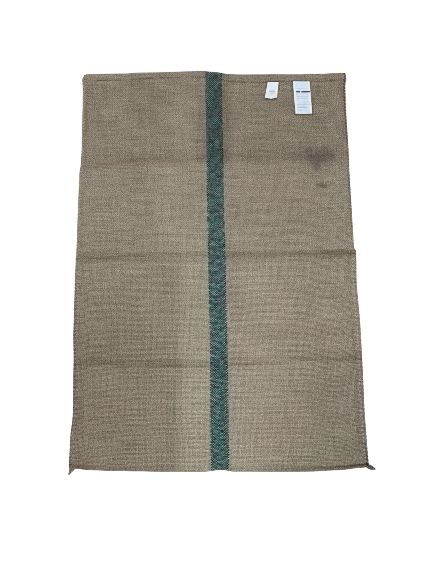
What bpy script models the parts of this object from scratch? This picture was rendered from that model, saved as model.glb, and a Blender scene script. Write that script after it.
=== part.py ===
"""A flat, empty jute sack, lying on its back.

One length of sacking is folded across the bottom, oversewn down both sides and hemmed round
the open mouth. It has been stored folded in four and once lengthwise, so the front still
stands in a soft ridge under its middle stripe and has three creases across.

Metres, +Z up, +Y towards the mouth, +X to the right of someone who faces the mouth.
Run it with: blender --background --python part.py
"""

import bmesh
import bpy
import numpy as np

MM = 0.001

# The cloth and its edges
CLOTH = 1.5 * MM              # one layer of sacking
HALF_WIDTH = 350 * MM         # middle to side, before the sides waver
LENGTH = 1000 * MM            # mouth to bottom fold, along the middle
SEAM_GAP = 0.5 * MM           # between the layers where they are held together
SEAM_DEPTH = 8 * MM           # the oversewn strip down each side
SEAM_BULGE = 0.8 * MM         # how far a sewn edge rounds out past its strip
HEM_DEPTH = 18.8 * MM         # the hem, turned outwards
HEM_STEP = 1.6 * MM           # over which its second layer begins
HEM_LIFT = 40 * MM            # over which the front climbs onto the back hem's height
HEM_ROUND = 1.0 * MM          # how far the front's folded edge rounds down
HEM_ROUND_DEPTH = 2.0 * MM    # over this distance from the mouth

# The space between the layers
LOOSE_GAP = 2.2 * MM          # over most of the sack
LOOSE_REACH = 60 * MM         # from a side seam to the full gap
FOLD_REACH = 45 * MM          # from the bottom fold to the full gap
FOLD_HOLD = 0.3               # share of the gap that is left at the bottom fold

# The ridge along the middle, under the stripe
RIDGE_RISE = 6.3 * MM         # on top of the loose gap
RIDGE_AT_MOUTH = -16 * MM     # the crest's place across, at the mouth
RIDGE_AT_FOLD = 5 * MM        # and at the bottom
RIDGE_LEFT = 124 * MM         # the flanks' widths
RIDGE_RIGHT = 118 * MM
RIDGE_SHIELD = 0.7            # share of a crossing trough that the ridge bridges

# Slow waves of the loose front: each has its height, lengths along X and Y, and start.
WAVES = (
    {"height": 0.35 * MM, "long_x": 310 * MM, "long_y": 270 * MM, "start": 0.6},
    {"height": 0.25 * MM, "long_x": 170 * MM, "long_y": 410 * MM, "start": 2.1},
)

# Creases across the front, in millimetres. along: from the sack's middle towards the mouth;
# slant: how much higher the right end lies than the left; height: a ridge above 0 and a
# trough below; up and down: how far it reaches towards the mouth and towards the fold.
CREASES = (
    {"along": 265, "slant": 5, "height": -1.8, "up": 17, "down": 14},
    {"along": 6, "slant": 8, "height": 1.7, "up": 34, "down": 15},
    {"along": -253, "slant": 7, "height": -1.8, "up": 13, "down": 12},
)

# The two sides from the mouth to the fold, in millimetres.
SIDES = (
    {"along": 500, "left": -345.2, "right": 347.6},
    {"along": 490, "left": -349.4, "right": 348.6},
    {"along": 462, "left": -347.4, "right": 345.8},
    {"along": 405, "left": -346.8, "right": 344.5},
    {"along": 292, "left": -345.8, "right": 345.3},
    {"along": 260, "left": -346.4, "right": 345.0},
    {"along": 228, "left": -349.6, "right": 344.4},
    {"along": 130, "left": -350.4, "right": 344.8},
    {"along": 26, "left": -350.6, "right": 345.4},
    {"along": 4, "left": -351.5, "right": 348.6},
    {"along": -60, "left": -352.0, "right": 346.8},
    {"along": -180, "left": -351.6, "right": 350.2},
    {"along": -262, "left": -348.6, "right": 350.0},
    {"along": -375, "left": -346.5, "right": 348.7},
    {"along": -438, "left": -350.2, "right": 349.9},
    {"along": -500, "left": -351.3, "right": 351.4},
)

# The bottom fold's outer edge and the mouth from left to right, in millimetres.
ENDS = (
    {"across": -350, "fold": -493.6, "mouth": 494.5},
    {"across": -336, "fold": -495.4, "mouth": 500.2},
    {"across": -300, "fold": -498.8, "mouth": 501.6},
    {"across": -200, "fold": -502.4, "mouth": 501.4},
    {"across": -120, "fold": -504.4, "mouth": 504.0},
    {"across": -36, "fold": -505.2, "mouth": 502.4},
    {"across": 6, "fold": -501.0, "mouth": 498.4},
    {"across": 36, "fold": -505.6, "mouth": 494.6},
    {"across": 150, "fold": -507.6, "mouth": 495.2},
    {"across": 210, "fold": -507.8, "mouth": 494.0},
    {"across": 280, "fold": -505.4, "mouth": 494.8},
    {"across": 336, "fold": -500.6, "mouth": 498.0},
    {"across": 350, "fold": -499.0, "mouth": 497.0},
)

# Mesh steps
COLUMN_STEP = 27 * MM
RIDGE_COLUMNS = (-130 * MM, 0.0, 110 * MM)
RIDGE_COLUMN_STEP = 14 * MM
ROW_STEP = 26 * MM
CREASE_ROWS = (-1.9, -1.1, -0.5, 0.0, 0.5, 1.1, 1.9)   # in reaches from the crease's line
FOLD_ROWS = (10 * MM, 24 * MM, 40 * MM)                # up from the bottom fold
FOLD_TURNS = 4                                         # faces round the bottom fold
WHOLE_ROWS = 4                                         # a level layer's rows over its hem

# The two sewn-in labels: their corners, left then right, in millimetres across and along.
LABEL_THICKNESS = 1.0 * MM
LABEL_CLEARANCE = 0.6 * MM
LABEL_COLUMNS = 5
LABEL_ROWS = 9
LABELS = (
    {
        "name": "label_small",
        "top": ((140.4, 474.9), (171.3, 474.8)),
        "bottom": ((133.9, 429.7), (164.1, 429.3)),
        "curl": 2.6 * MM,
    },
    {
        "name": "label_large",
        "top": ((208.2, 474.9), (253.4, 474.8)),
        "bottom": ((210.3, 383.9), (254.3, 384.6)),
        "curl": 0.8 * MM,
    },
)
CURL_START = 0.55             # where along a label its free end begins to lift

# The knotted twine ends at the bottom corners, lying on the surface. Each tail's places are
# in millimetres across and along; its sections give shares of its full width and height.
TAIL_SIDES = 10
TAIL_SECTIONS = (
    {"along": 0.0, "width": 0.55, "height": 0.6},
    {"along": 0.18, "width": 0.9, "height": 0.9},
    {"along": 0.42, "width": 1.0, "height": 1.0},
    {"along": 0.68, "width": 0.8, "height": 0.8},
    {"along": 0.88, "width": 0.45, "height": 0.55},
    {"along": 1.0, "width": 0.12, "height": 0.25},
)
TAILS = (
    {
        "name": "seam_tail_left",
        "root": (-345.5, -495.0),
        "tip": (-350.2, -509.4),
        "width": 9.0 * MM,
        "height": 4.6 * MM,
    },
    {
        "name": "seam_tail_right",
        "root": (352.0, -496.9),
        "tip": (366.8, -502.8),
        "width": 9.4 * MM,
        "height": 4.8 * MM,
    },
)

MATERIALS = {
    "sacking": {"colour": (0.245, 0.190, 0.130, 1.0), "roughness": 0.92},
    "label_cloth": {"colour": (0.70, 0.74, 0.80, 1.0), "roughness": 0.65},
    "seam_twine": {"colour": (0.060, 0.075, 0.070, 1.0), "roughness": 0.90},
}


def smooth(share):
    """0 up to 0, 1 from 1 on, and an even S between."""
    share = np.clip(share, 0.0, 1.0)
    return share * share * (3.0 - 2.0 * share)


def read(table, place, column, at):
    """A column of a table in millimetres, easing from each row's place to the next."""
    rows = sorted(table, key=lambda row: row[place])
    places = np.array([row[place] for row in rows]) * MM
    values = np.array([row[column] for row in rows]) * MM
    after = np.clip(np.searchsorted(places, at), 1, len(rows) - 1)
    before = after - 1
    share = smooth((at - places[before]) / (places[after] - places[before]))
    return values[before] + share * (values[after] - values[before])


def ridge(x, y):
    """The middle ridge's share of its full rise: half a cosine wave down each flank."""
    down = LENGTH / 2 - y
    from_crest = x - RIDGE_AT_MOUTH - down / LENGTH * (RIDGE_AT_FOLD - RIDGE_AT_MOUTH)
    flank = np.where(from_crest < 0.0, RIDGE_LEFT, RIDGE_RIGHT)
    return 0.5 + 0.5 * np.cos(np.pi * np.clip(np.abs(from_crest) / flank, 0.0, 1.0))


def creases(x, y):
    """The height that the creases add: a bell curve across each crease's line."""
    total = np.zeros(np.broadcast(x, y).shape)
    for crease in CREASES:
        line = crease["along"] * MM + crease["slant"] * MM * x / (2 * HALF_WIDTH)
        away = y - line
        reach = np.where(away > 0.0, crease["up"], crease["down"]) * MM
        bridged = RIDGE_SHIELD * ridge(x, y) if crease["height"] < 0.0 else 0.0
        total += crease["height"] * MM * (1.0 - bridged) * np.exp(-((away / reach) ** 2))
    return total


def gap(x, y):
    """The height of the space between the layers."""
    loose = LOOSE_GAP + creases(x, y)
    for wave in WAVES:
        along_x = np.sin(2 * np.pi * x / wave["long_x"] + wave["start"])
        along_y = np.sin(2 * np.pi * y / wave["long_y"])
        loose = loose + wave["height"] * along_x * along_y
    from_side = smooth((HALF_WIDTH - SEAM_DEPTH - np.abs(x)) / LOOSE_REACH)
    from_fold = smooth((y + LENGTH / 2) / FOLD_REACH)
    held = FOLD_HOLD + (1.0 - FOLD_HOLD) * from_fold
    return np.maximum(held * (from_side * loose + RIDGE_RISE * ridge(x, y)), SEAM_GAP)


def hem(down):
    """What a turned hem adds to its layer, at a distance from the mouth."""
    return CLOTH * smooth((HEM_DEPTH - down) / HEM_STEP)


def heights(x, y, down):
    """Heights of the back layer's upper face and the front layer's lower and upper faces."""
    lift = CLOTH * smooth((HEM_DEPTH + HEM_LIFT - down) / HEM_LIFT)
    under = CLOTH + lift + gap(x, y)
    rounded = HEM_ROUND * smooth((HEM_ROUND_DEPTH - down) / HEM_ROUND_DEPTH)
    return CLOTH + hem(down), under, under + CLOTH + hem(down) - rounded


def fold_radius(x):
    """The bottom fold's outer radius: half of the height of both layers there."""
    return CLOTH + gap(x, -LENGTH / 2) / 2


def plan(across, down):
    """Where a place on the sack lies, seen from above.

    across runs from -1 at the left side to 1 at the right. down is the distance from the
    mouth, along the sack's middle.
    """
    along = LENGTH / 2 - down
    left = read(SIDES, "along", "left", along) + SEAM_BULGE
    right = read(SIDES, "along", "right", along) - SEAM_BULGE
    x = left + (across + 1.0) / 2 * (right - left)
    mouth = read(ENDS, "across", "mouth", x)
    fold = read(ENDS, "across", "fold", x) + fold_radius(x)
    return x, mouth + down / LENGTH * (fold - mouth)


def divided(places, longest):
    """The places, with each stretch between them divided evenly into steps short enough."""
    result = [places[0]]
    for start, end in zip(places[:-1], places[1:]):
        steps = int(np.ceil((end - start) / longest - 1e-9))
        result.extend(start + (end - start) * (k + 1) / steps for k in range(steps))
    return result


def column_places():
    """Across the sack: both edges, both seam lines, and closer columns over the ridge."""
    edge = HALF_WIDTH - SEAM_BULGE
    seam = edge - SEAM_DEPTH
    left = divided([-seam, RIDGE_COLUMNS[0]], COLUMN_STEP)
    middle = divided(RIDGE_COLUMNS, RIDGE_COLUMN_STEP)
    right = divided([RIDGE_COLUMNS[-1], seam], COLUMN_STEP)
    return np.array([-edge, *left, *middle[1:], *right[1:], edge]) / edge


def row_places():
    """Distances from the mouth: the hem's edges, the creases, and what lies between."""
    places = {0.0, HEM_ROUND_DEPTH, HEM_DEPTH - HEM_STEP, HEM_DEPTH, LENGTH}
    places.update(LENGTH - up for up in FOLD_ROWS)
    for crease in CREASES:
        for share in CREASE_ROWS:
            reach = crease["up"] if share > 0.0 else crease["down"]
            places.add(LENGTH / 2 - (crease["along"] + share * reach) * MM)
    return np.array(divided(sorted(places), ROW_STEP))


def new_row(mesh, x, y, z):
    """A row of vertices."""
    return [mesh.verts.new(place) for place in zip(*np.broadcast_arrays(x, y, z))]


def strip(mesh, first, second):
    """Quads between two rows of as many vertices."""
    for k in range(len(first) - 1):
        mesh.faces.new((first[k], first[k + 1], second[k + 1], second[k]))


def shaped_layer(mesh, x, y, z):
    """A face of a layer with all its rows. Returns its four borders."""
    rows = [new_row(mesh, *places) for places in zip(x, y, z)]
    for above, below in zip(rows[:-1], rows[1:]):
        strip(mesh, above, below)
    return {
        "mouth": rows[0],
        "fold": rows[-1],
        "left": [row[0] for row in rows],
        "right": [row[-1] for row in rows],
    }


def level_layer(mesh, x, y, z):
    """A flat face of a layer: past its hem it needs only its borders. Returns the borders."""
    whole = [new_row(mesh, *places) for places in zip(x[:WHOLE_ROWS], y, z)]
    ends = (0, -1)
    pairs = [
        new_row(mesh, x[row, ends], y[row, ends], z[row, ends])
        for row in range(WHOLE_ROWS, len(x) - 1)
    ]
    fold = new_row(mesh, x[-1], y[-1], z[-1])
    for above, below in zip(whole[:-1], whole[1:]):
        strip(mesh, above, below)
    for above, below in zip(pairs[:-1], pairs[1:]):
        strip(mesh, above, below)
    mesh.faces.new((*whole[-1], *reversed(pairs[0])))
    mesh.faces.new((*pairs[-1], *reversed(fold)))
    rows = [*whole, *pairs, fold]
    return {
        "mouth": rows[0],
        "fold": rows[-1],
        "left": [row[0] for row in rows],
        "right": [row[-1] for row in rows],
    }


def fold_rows(mesh, x, y, height, front, back):
    """The rows of vertices round the bottom fold, from the front layer to the back."""
    rows = [front]
    for turn in range(1, FOLD_TURNS):
        angle = np.pi * turn / FOLD_TURNS
        reach = height / 2 * np.sin(angle)
        rows.append(new_row(mesh, x, y - reach, height / 2 * (1.0 + np.cos(angle))))
    return [*rows, back]


def build_sack():
    """Both layers as one solid: bottom fold, closed sides, open mouth and space inside."""
    across, down = np.meshgrid(column_places(), row_places())
    x, y = plan(across, down)
    floor_height, under, top = heights(x, y, down)
    inside = np.s_[:, 1:-1]

    mesh = bmesh.new()
    front = shaped_layer(mesh, x, y, top)
    ceiling = shaped_layer(mesh, x[inside], y[inside], under[inside])
    floor = level_layer(mesh, x[inside], y[inside], floor_height[inside])
    back = level_layer(mesh, x, y, np.zeros_like(x))

    fold = fold_rows(mesh, x[-1], y[-1], top[-1], front["fold"], back["fold"])
    for upper, lower in zip(fold[:-1], fold[1:]):
        strip(mesh, upper, lower)
    strip(mesh, ceiling["fold"], floor["fold"])
    strip(mesh, front["mouth"][1:-1], ceiling["mouth"])
    strip(mesh, floor["mouth"], back["mouth"][1:-1])

    for side, edge, inner, outwards in (("left", 0, 1, -1.0), ("right", -1, -2, 1.0)):
        bulge_x = x[:, edge] + outwards * SEAM_BULGE
        bulge = new_row(mesh, bulge_x, y[:, edge], top[:, edge] / 2)
        strip(mesh, front[side], bulge)
        strip(mesh, bulge, back[side])
        strip(mesh, ceiling[side], floor[side])
        mesh.faces.new((*(row[edge] for row in fold), bulge[-1]))
        mesh.faces.new(
            (
                bulge[0],
                front["mouth"][edge],
                front["mouth"][inner],
                ceiling["mouth"][edge],
                floor["mouth"][edge],
                back["mouth"][inner],
                back["mouth"][edge],
            )
        )
    add_object("sack_cloth", mesh, "sacking")


def build_label(label):
    """A thin sheet lying on the front, its free end lifting a little."""
    top, bottom = (np.array(label[end]) * MM for end in ("top", "bottom"))
    across, down = np.meshgrid(np.linspace(0, 1, LABEL_COLUMNS), np.linspace(0, 1, LABEL_ROWS))
    across, down = across[..., None], down[..., None]
    upper_edge = top[0] + across * (top[1] - top[0])
    lower_edge = bottom[0] + across * (bottom[1] - bottom[0])
    x, y = np.moveaxis(upper_edge + down * (lower_edge - upper_edge), -1, 0)
    from_mouth = read(ENDS, "across", "mouth", x) - y
    lift = label["curl"] * smooth((down[..., 0] - CURL_START) / (1.0 - CURL_START))
    under = heights(x, y, from_mouth)[2] + LABEL_CLEARANCE + lift

    mesh = bmesh.new()
    upper = shaped_layer(mesh, x, y, under + LABEL_THICKNESS)
    lower = shaped_layer(mesh, x, y, under)
    for border in upper:
        strip(mesh, upper[border], lower[border])
    add_object(label["name"], mesh, "label_cloth")


def build_tail(tail):
    """A flattened knot of twine: rings of one rounded section from root to tip."""
    root, tip = (np.array(tail[end]) * MM for end in ("root", "tip"))
    forward = (tip - root) / np.linalg.norm(tip - root)
    sideways = np.array((-forward[1], forward[0]))
    angles = 2 * np.pi * np.arange(TAIL_SIDES) / TAIL_SIDES

    mesh = bmesh.new()
    rings = []
    for section in TAIL_SECTIONS:
        centre = root + section["along"] * (tip - root)
        out = section["width"] * tail["width"] / 2 * np.cos(angles)
        x, y = centre[:, None] + sideways[:, None] * out
        z = section["height"] * tail["height"] / 2 * (1.0 + np.sin(angles))
        rings.append(new_row(mesh, x, y, z))
    for first, second in zip(rings[:-1], rings[1:]):
        strip(mesh, [*first, first[0]], [*second, second[0]])
    mesh.faces.new(rings[0])
    mesh.faces.new(rings[-1])
    add_object(tail["name"], mesh, "seam_twine")


def new_material(name):
    """One of the sack's plain finishes."""
    material = bpy.data.materials.new(name)
    material.use_nodes = True
    shader = material.node_tree.nodes["Principled BSDF"]
    shader.inputs["Base Color"].default_value = MATERIALS[name]["colour"]
    shader.inputs["Roughness"].default_value = MATERIALS[name]["roughness"]
    shader.inputs["Metallic"].default_value = 0.0
    return material


def add_object(name, mesh, material):
    """A named object from a finished bmesh, its faces pointing out."""
    bmesh.ops.recalc_face_normals(mesh, faces=mesh.faces)
    data = bpy.data.meshes.new(name)
    mesh.to_mesh(data)
    mesh.free()
    data.materials.append(bpy.data.materials[material])
    bpy.context.collection.objects.link(bpy.data.objects.new(name, data))


def centre_on_origin():
    """Shift every piece so that the whole stands on the origin, at the middle of its box."""
    meshes = [thing.data for thing in bpy.data.objects]
    places = np.array([vertex.co for data in meshes for vertex in data.vertices])
    middle = (places.min(axis=0) + places.max(axis=0)) / 2
    for data in meshes:
        for vertex in data.vertices:
            vertex.co.x -= middle[0]
            vertex.co.y -= middle[1]


def main():
    for thing in list(bpy.data.objects):
        bpy.data.objects.remove(thing)
    for name in MATERIALS:
        new_material(name)
    build_sack()
    for label in LABELS:
        build_label(label)
    for tail in TAILS:
        build_tail(tail)
    centre_on_origin()


main()
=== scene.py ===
"""The finished look of a flat, empty jute sack that lies on its back.

Metres, +Z up, +Y towards the open mouth, +X to the right of someone who faces the mouth.
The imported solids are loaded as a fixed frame, and each piece made here stands for one of them
or is sewn to it. The sack's outline, ridge and creases follow the same formulas as its solid,
and the cloth lies within a few millimetres of it.
"""

import math
from functools import partial

import bmesh
import bpy
import numpy as np
from bpy.props import FloatProperty, FloatVectorProperty, IntProperty, PointerProperty
from bpy.types import Operator, Panel, PropertyGroup
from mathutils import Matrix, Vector


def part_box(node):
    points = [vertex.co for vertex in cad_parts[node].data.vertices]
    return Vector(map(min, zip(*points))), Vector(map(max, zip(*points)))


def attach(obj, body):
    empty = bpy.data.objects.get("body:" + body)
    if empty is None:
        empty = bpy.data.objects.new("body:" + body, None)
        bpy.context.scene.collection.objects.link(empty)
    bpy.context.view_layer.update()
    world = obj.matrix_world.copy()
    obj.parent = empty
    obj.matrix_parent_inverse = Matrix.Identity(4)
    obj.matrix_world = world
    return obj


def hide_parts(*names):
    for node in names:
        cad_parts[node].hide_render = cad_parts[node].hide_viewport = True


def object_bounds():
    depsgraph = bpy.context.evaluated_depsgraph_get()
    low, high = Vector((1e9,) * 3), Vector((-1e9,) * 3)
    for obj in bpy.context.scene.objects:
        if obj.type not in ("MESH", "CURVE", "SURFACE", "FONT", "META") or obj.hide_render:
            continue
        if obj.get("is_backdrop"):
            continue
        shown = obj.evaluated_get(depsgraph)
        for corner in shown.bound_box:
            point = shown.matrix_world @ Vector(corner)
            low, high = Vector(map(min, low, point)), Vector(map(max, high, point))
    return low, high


bl_info = {
    "name": "Jute Sack",
    "version": (1, 0, 0),
    "blender": (4, 5, 0),
    "location": "View3D > Sidebar > Jute Sack",
    "description": "Makes the cloth, seams, labels and twine ends of an empty jute sack",
    "category": "Object",
}

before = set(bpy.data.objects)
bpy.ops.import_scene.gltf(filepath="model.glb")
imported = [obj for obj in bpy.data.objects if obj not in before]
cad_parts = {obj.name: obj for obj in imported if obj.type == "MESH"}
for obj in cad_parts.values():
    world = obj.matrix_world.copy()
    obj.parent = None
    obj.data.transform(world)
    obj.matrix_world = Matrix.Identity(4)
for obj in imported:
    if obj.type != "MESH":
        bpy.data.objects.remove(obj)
CAD_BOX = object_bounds()

MM = 0.001
BODY = "root"


def linear(hex_colour):
    """An sRGB hex value as linear red, green and blue."""
    parts = (int(hex_colour[k : k + 2], 16) / 255 for k in (1, 3, 5))
    return tuple(c / 12.92 if c <= 0.04045 else ((c + 0.055) / 1.055) ** 2.4 for c in parts)


def table(columns, *rows):
    """Rows of numbers under the columns that are named in one string."""
    names = columns.split()
    return [dict(zip(names, row)) for row in rows]


# ---------------------------------------------------------------------------------------------
# The sack's form, in the solid's drawing frame and with its formulas. The creases' courses, the
# hem's depth, the mouth, the right side, the labels and the twine ends are drawn finer than
# the solid's, and lie up to 8 mm from them.

CLOTH = 1.5 * MM              # one layer of sacking
HALF_WIDTH = 350 * MM
LENGTH = 1000 * MM            # mouth to bottom fold
SEAM_GAP = 0.5 * MM           # between the layers where they are held together
SEAM_DEPTH = 8 * MM           # the oversewn strip down each side
SEAM_BULGE = 0.8 * MM         # how far its rounded edge stands out
HEM_DEPTH = 18.8 * MM         # the hem, turned outwards, where it is even
HEM_STEP = 1.2 * MM           # over which its folded edge rises
HEM_LIFT = 40 * MM            # over which the front climbs onto the back hem's height
LOOSE_GAP = 2.2 * MM          # the space between the layers
LOOSE_REACH = 60 * MM         # over which it opens from a side
FOLD_REACH = 45 * MM          # and from the bottom fold
FOLD_HOLD = 0.3               # the share of it that is left at the fold
RIDGE_RISE = 6.3 * MM         # the ridge along the middle
RIDGE_AT_MOUTH = -16 * MM
RIDGE_AT_FOLD = 5 * MM
RIDGE_LEFT = 124 * MM         # its flanks' widths
RIDGE_RIGHT = 118 * MM
RIDGE_SHIELD = 0.7            # how far it bridges the hollow creases
SHORTEST_WAVE = 28 * MM       # of the front's unevenness
LONGEST_WAVE = 170 * MM

# Broad, low waves in the loose front.
WAVES = (
    {"height": 0.35 * MM, "long_x": 310 * MM, "long_y": 270 * MM, "start": 0.6},
    {"height": 0.25 * MM, "long_x": 170 * MM, "long_y": 410 * MM, "start": 2.1},
)

# Creases across the front, in millimetres: a soft bell with a pressed line in its middle, and
# the painted shade in it, partly soil. course is where the line runs and how much darker that
# painted shade is, in percent.
# The heights are the solid's, whose lines are straighter.
UPPER_COURSE = table(
    "across at dark",
    (-304, 257, 10), (-232, 261, 12), (-155, 266, 11), (-78, 259, 12), (79, 265, 12),
    (154, 265, 6), (231, 266, 6), (308, 267, 6),
)
MIDDLE_COURSE = table(
    "across at dark",
    (-297, 8, 24), (-228, 10.5, 25), (-153, 9, 24), (-78, 10, 24), (74, 10, 28), (146, 10, 26),
    (221, 12, 32), (296, 13, 46), (345, 14, 50),
)
LOWER_COURSE = table(
    "across at dark",
    (-291, -254, 15), (-223, -256, 15), (-151, -258, 19), (-79, -259, 31), (68, -260, 38),
    (138, -247, 12), (210, -247, 9), (283, -248, 22),
)
CREASES = table(
    "height up down line soil_up soil_down course",
    (-1.8, 17, 14, -0.3, 18, 10, UPPER_COURSE),
    (1.7, 34, 15, -0.7, 9, 11, MIDDLE_COURSE),
    (-1.8, 13, 12, -0.5, 13, 6, LOWER_COURSE),
)
LINE_REACH = 3.2 * MM         # the pressed line's half width

# The two sides from the mouth to the fold, in millimetres.
SIDES = table(
    "along left right",
    (500, -345.2, 347.6), (490, -349.4, 348.6), (462, -347.4, 345.8), (405, -346.8, 344.5),
    (292, -345.8, 345.3), (260, -346.4, 345.0), (228, -349.6, 344.4), (130, -350.4, 344.8),
    (28, -350.6, 345.0), (18, -351.0, 349.8), (4, -351.5, 349.4), (-60, -352.0, 347.2),
    (-180, -351.6, 350.2), (-262, -348.6, 350.0), (-375, -346.5, 348.7), (-438, -351.0, 349.9),
    (-500, -351.9, 351.4),
)

# The bottom fold's outer edge and the mouth from left to right, in millimetres.
ENDS = table(
    "across fold mouth",
    (-350, -493.6, 498.0), (-336, -495.4, 502.2), (-300, -498.8, 501.3), (-240, -501.1, 501.5),
    (-200, -502.4, 503.8), (-120, -504.4, 504.0), (-36, -505.2, 502.4), (6, -501.0, 498.4),
    (36, -505.6, 494.6), (150, -507.6, 495.2), (210, -507.8, 494.0), (280, -505.4, 494.8),
    (336, -500.6, 498.0), (350, -499.0, 497.0),
)

# The hem's folded edge from left to right: how deep the hem is, in millimetres, and how dark
# the painted shadow along it is, in percent.
HEM_EDGE = table(
    "across deep dark",
    (-344, 17.0, 8), (-312, 17.0, 16), (-300, 17.0, 40), (-260, 17.0, 32), (-238, 16.6, 14),
    (-204, 15.9, 38), (-172, 15.7, 50), (-154, 14.8, 14), (-130, 14.4, 36), (-102, 14.4, 30),
    (-80, 15.2, 14), (-48, 16.4, 24), (31, 17.8, 10), (70, 20.4, 34), (115, 20.6, 36),
    (175, 19.0, 26), (262, 19.4, 24), (288, 19.6, 34), (308, 18.8, 38), (336, 18.8, 8),
    (350, 18.8, 0),
)

# Where the middle of the woven stripe lies, from mouth to fold, in millimetres.
STRIPE_DRIFT = table(
    "along centre",
    (500, -1.7), (150, -1.0), (-100, 2.2), (-240, 3.2), (-500, 2.6),
)

# The labels: their two ends' corners in millimetres, how far the free end curls up, how far
# the middle of its edge hangs lower, the cut ribbon's size in metres, and how clean it is.
LABELS = (
    {
        "name": "sewn_label_small", "node": "label_small", "clean": 0.5,
        "top": ((140.4, 474.0), (169.4, 473.6)), "bottom": ((131.6, 429.7), (163.6, 429.3)),
        "curl": 2.4 * MM, "point": 3.6 * MM, "flat": (0.031, 0.0455),
    },
    {
        "name": "sewn_label_large", "node": "label_large", "clean": 0.0,
        "top": ((206.6, 474.2), (251.0, 473.8)), "bottom": ((210.3, 383.9), (254.3, 384.6)),
        "curl": 0.8 * MM, "point": 0.6 * MM, "flat": (0.0445, 0.0905),
    },
)

# The twine ends: a wedge on the left and a leaf on the right. widths and TAIL_HEIGHTS are
# shares of the full width and height at even steps from the root to the tip.
TAIL_HEIGHTS = (0.75, 0.95, 1.0, 0.85, 0.6, 0.25)
TAILS = (
    {
        "name": "knotted_twine_left", "node": "seam_tail_left",
        "root": (-342.2, -491.0), "tip": (-352.0, -508.8), "width": 12.6 * MM, "height": 4.6 * MM,
        "widths": (1.0, 0.98, 0.8, 0.56, 0.4, 0.22),
    },
    {
        "name": "knotted_twine_right", "node": "seam_tail_right",
        "root": (346.8, -496.8), "tip": (367.6, -504.6), "width": 10.2 * MM, "height": 4.2 * MM,
        "widths": (0.75, 0.95, 1.0, 0.85, 0.5, 0.12),
    },
)

# Wear and painted light and shade, in millimetres on the front: soiled and clean patches, and
# painted pools of light and shadow, such as the shadow right of the stripe near the mouth. A row
# is a patch: its left and right sides and how far each fades, its lower and upper ends and how
# far each fades, and how much paler, or darker below 0, the cloth is inside it.
WEAR_AND_SHADE = (
    (-400, 400, 1, 1, 247, 600, 30, 1, -0.14), (100, 400, 120, 1, 60, 600, 120, 1, -0.09),
    (-400, -250, 1, 90, 0, 250, 60, 20, -0.09), (-140, -44, 80, 20, 40, 420, 80, 80, 0.06),
    (-16, 22, 10, 3, 200, 600, 200, 1, -0.26), (-25, -16, 3, 6, 60, 260, 60, 60, 0.18),
    (-20, 26, 3, 3, -600, -230, 1, 60, -0.12), (-400, -210, 1, 160, -600, 10, 1, 160, -0.1),
    (-400, -92, 1, 34, -600, -90, 1, 240, -0.15), (-90, 150, 38, 170, -600, 60, 1, 150, 0.16),
    (200, 400, 130, 1, -600, -230, 1, 180, -0.17), (60, 340, 60, 1, -196, -166, 26, 26, -0.09),
    (-50, 70, 70, 60, 330, 600, 120, 1, -0.05), (-100, -60, 40, 30, 235, 420, 60, 100, 0.05),
    (22, 38, 4, 34, 240, 600, 60, 1, -0.24), (24, 60, 4, 30, 60, 250, 40, 40, -0.06),
    (24, 66, 4, 40, -130, 20, 60, 40, -0.11), (-31, -21, 8, 3, 240, 600, 60, 1, -0.09),
    (-345, -280, 10, 70, -490, -430, 10, 50, 0.1), (8, 40, 4, 30, -110, 60, 60, 60, -0.12),
    (80, 190, 60, 60, -600, -370, 1, 80, -0.12), (-220, -130, 50, 40, 350, 600, 60, 1, -0.06),
    (-230, -140, 60, 60, 40, 260, 60, 60, -0.06), (40, 130, 10, 60, -25, 42, 30, 30, -0.11),
    (250, 400, 60, 1, -32, 2, 20, 10, -0.09), (300, 400, 40, 1, -600, -440, 1, 30, -0.08),
    (150, 240, 40, 40, -300, -255, 20, 8, 0.09), (-344, -310, 6, 20, -600, -484, 1, 10, -0.1),
    (-335, -275, 6, 30, 410, 476, 20, 6, -0.07), (-340, 335, 8, 8, 470, 600, 30, 1, 0.05),
    (326, 341, 10, 4, -450, -195, 60, 40, -0.12), (325, 338, 10, 4, -195, 10, 40, 20, -0.07),
    (-340, -318, 4, 16, -480, -330, 30, 40, -0.12),
)

# Brown dust and rust that has come off on the cloth, in the same way.
RUST = (
    (-342, -333, 4, 4, 320, 480, 60, 20, 0.4), (-46, -38, 6, 4, 240, 492, 40, 20, 0.4),
    (322, 344, 12, 6, -160, -40, 30, 30, 0.2), (-346, -290, 4, 40, -500, -455, 4, 40, 0.25),
    (150, 345, 120, 4, -504, -486, 4, 8, 0.12), (-340, -304, 6, 30, -498, -478, 4, 16, 0.3),
)

# Cloth that has greyed, and cloth that is greener than the rest, in the same way.
GREYED = (
    (215, 400, 60, 1, -490, -280, 10, 100, 0.17), (-21, 6, 4, 10, 494, 600, 6, 1, 0.6),
    (6, 22, 10, 4, 489, 600, 4, 1, 0.3),
)
GREENER = (
    (-335, -212, 10, 10, 494, 600, 5, 1, 1.0), (-330, -20, 50, 1, 25, 232, 60, 10, 1.0),
    (-108, -20, 50, 1, -600, 25, 1, 60, 1.0), (-350, -108, 1, 50, -330, 25, 120, 60, 0.35),
    (24, 110, 1, 70, -120, 20, 60, 20, 0.6), (24, 165, 1, 60, 10, 110, 20, 60, 0.8),
    (24, 300, 1, 90, -600, -440, 1, 40, 0.6), (305, 340, 20, 20, -330, 20, 60, 20, 0.3),
    (285, 338, 50, 10, 20, 240, 20, 40, 0.75),
)
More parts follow.
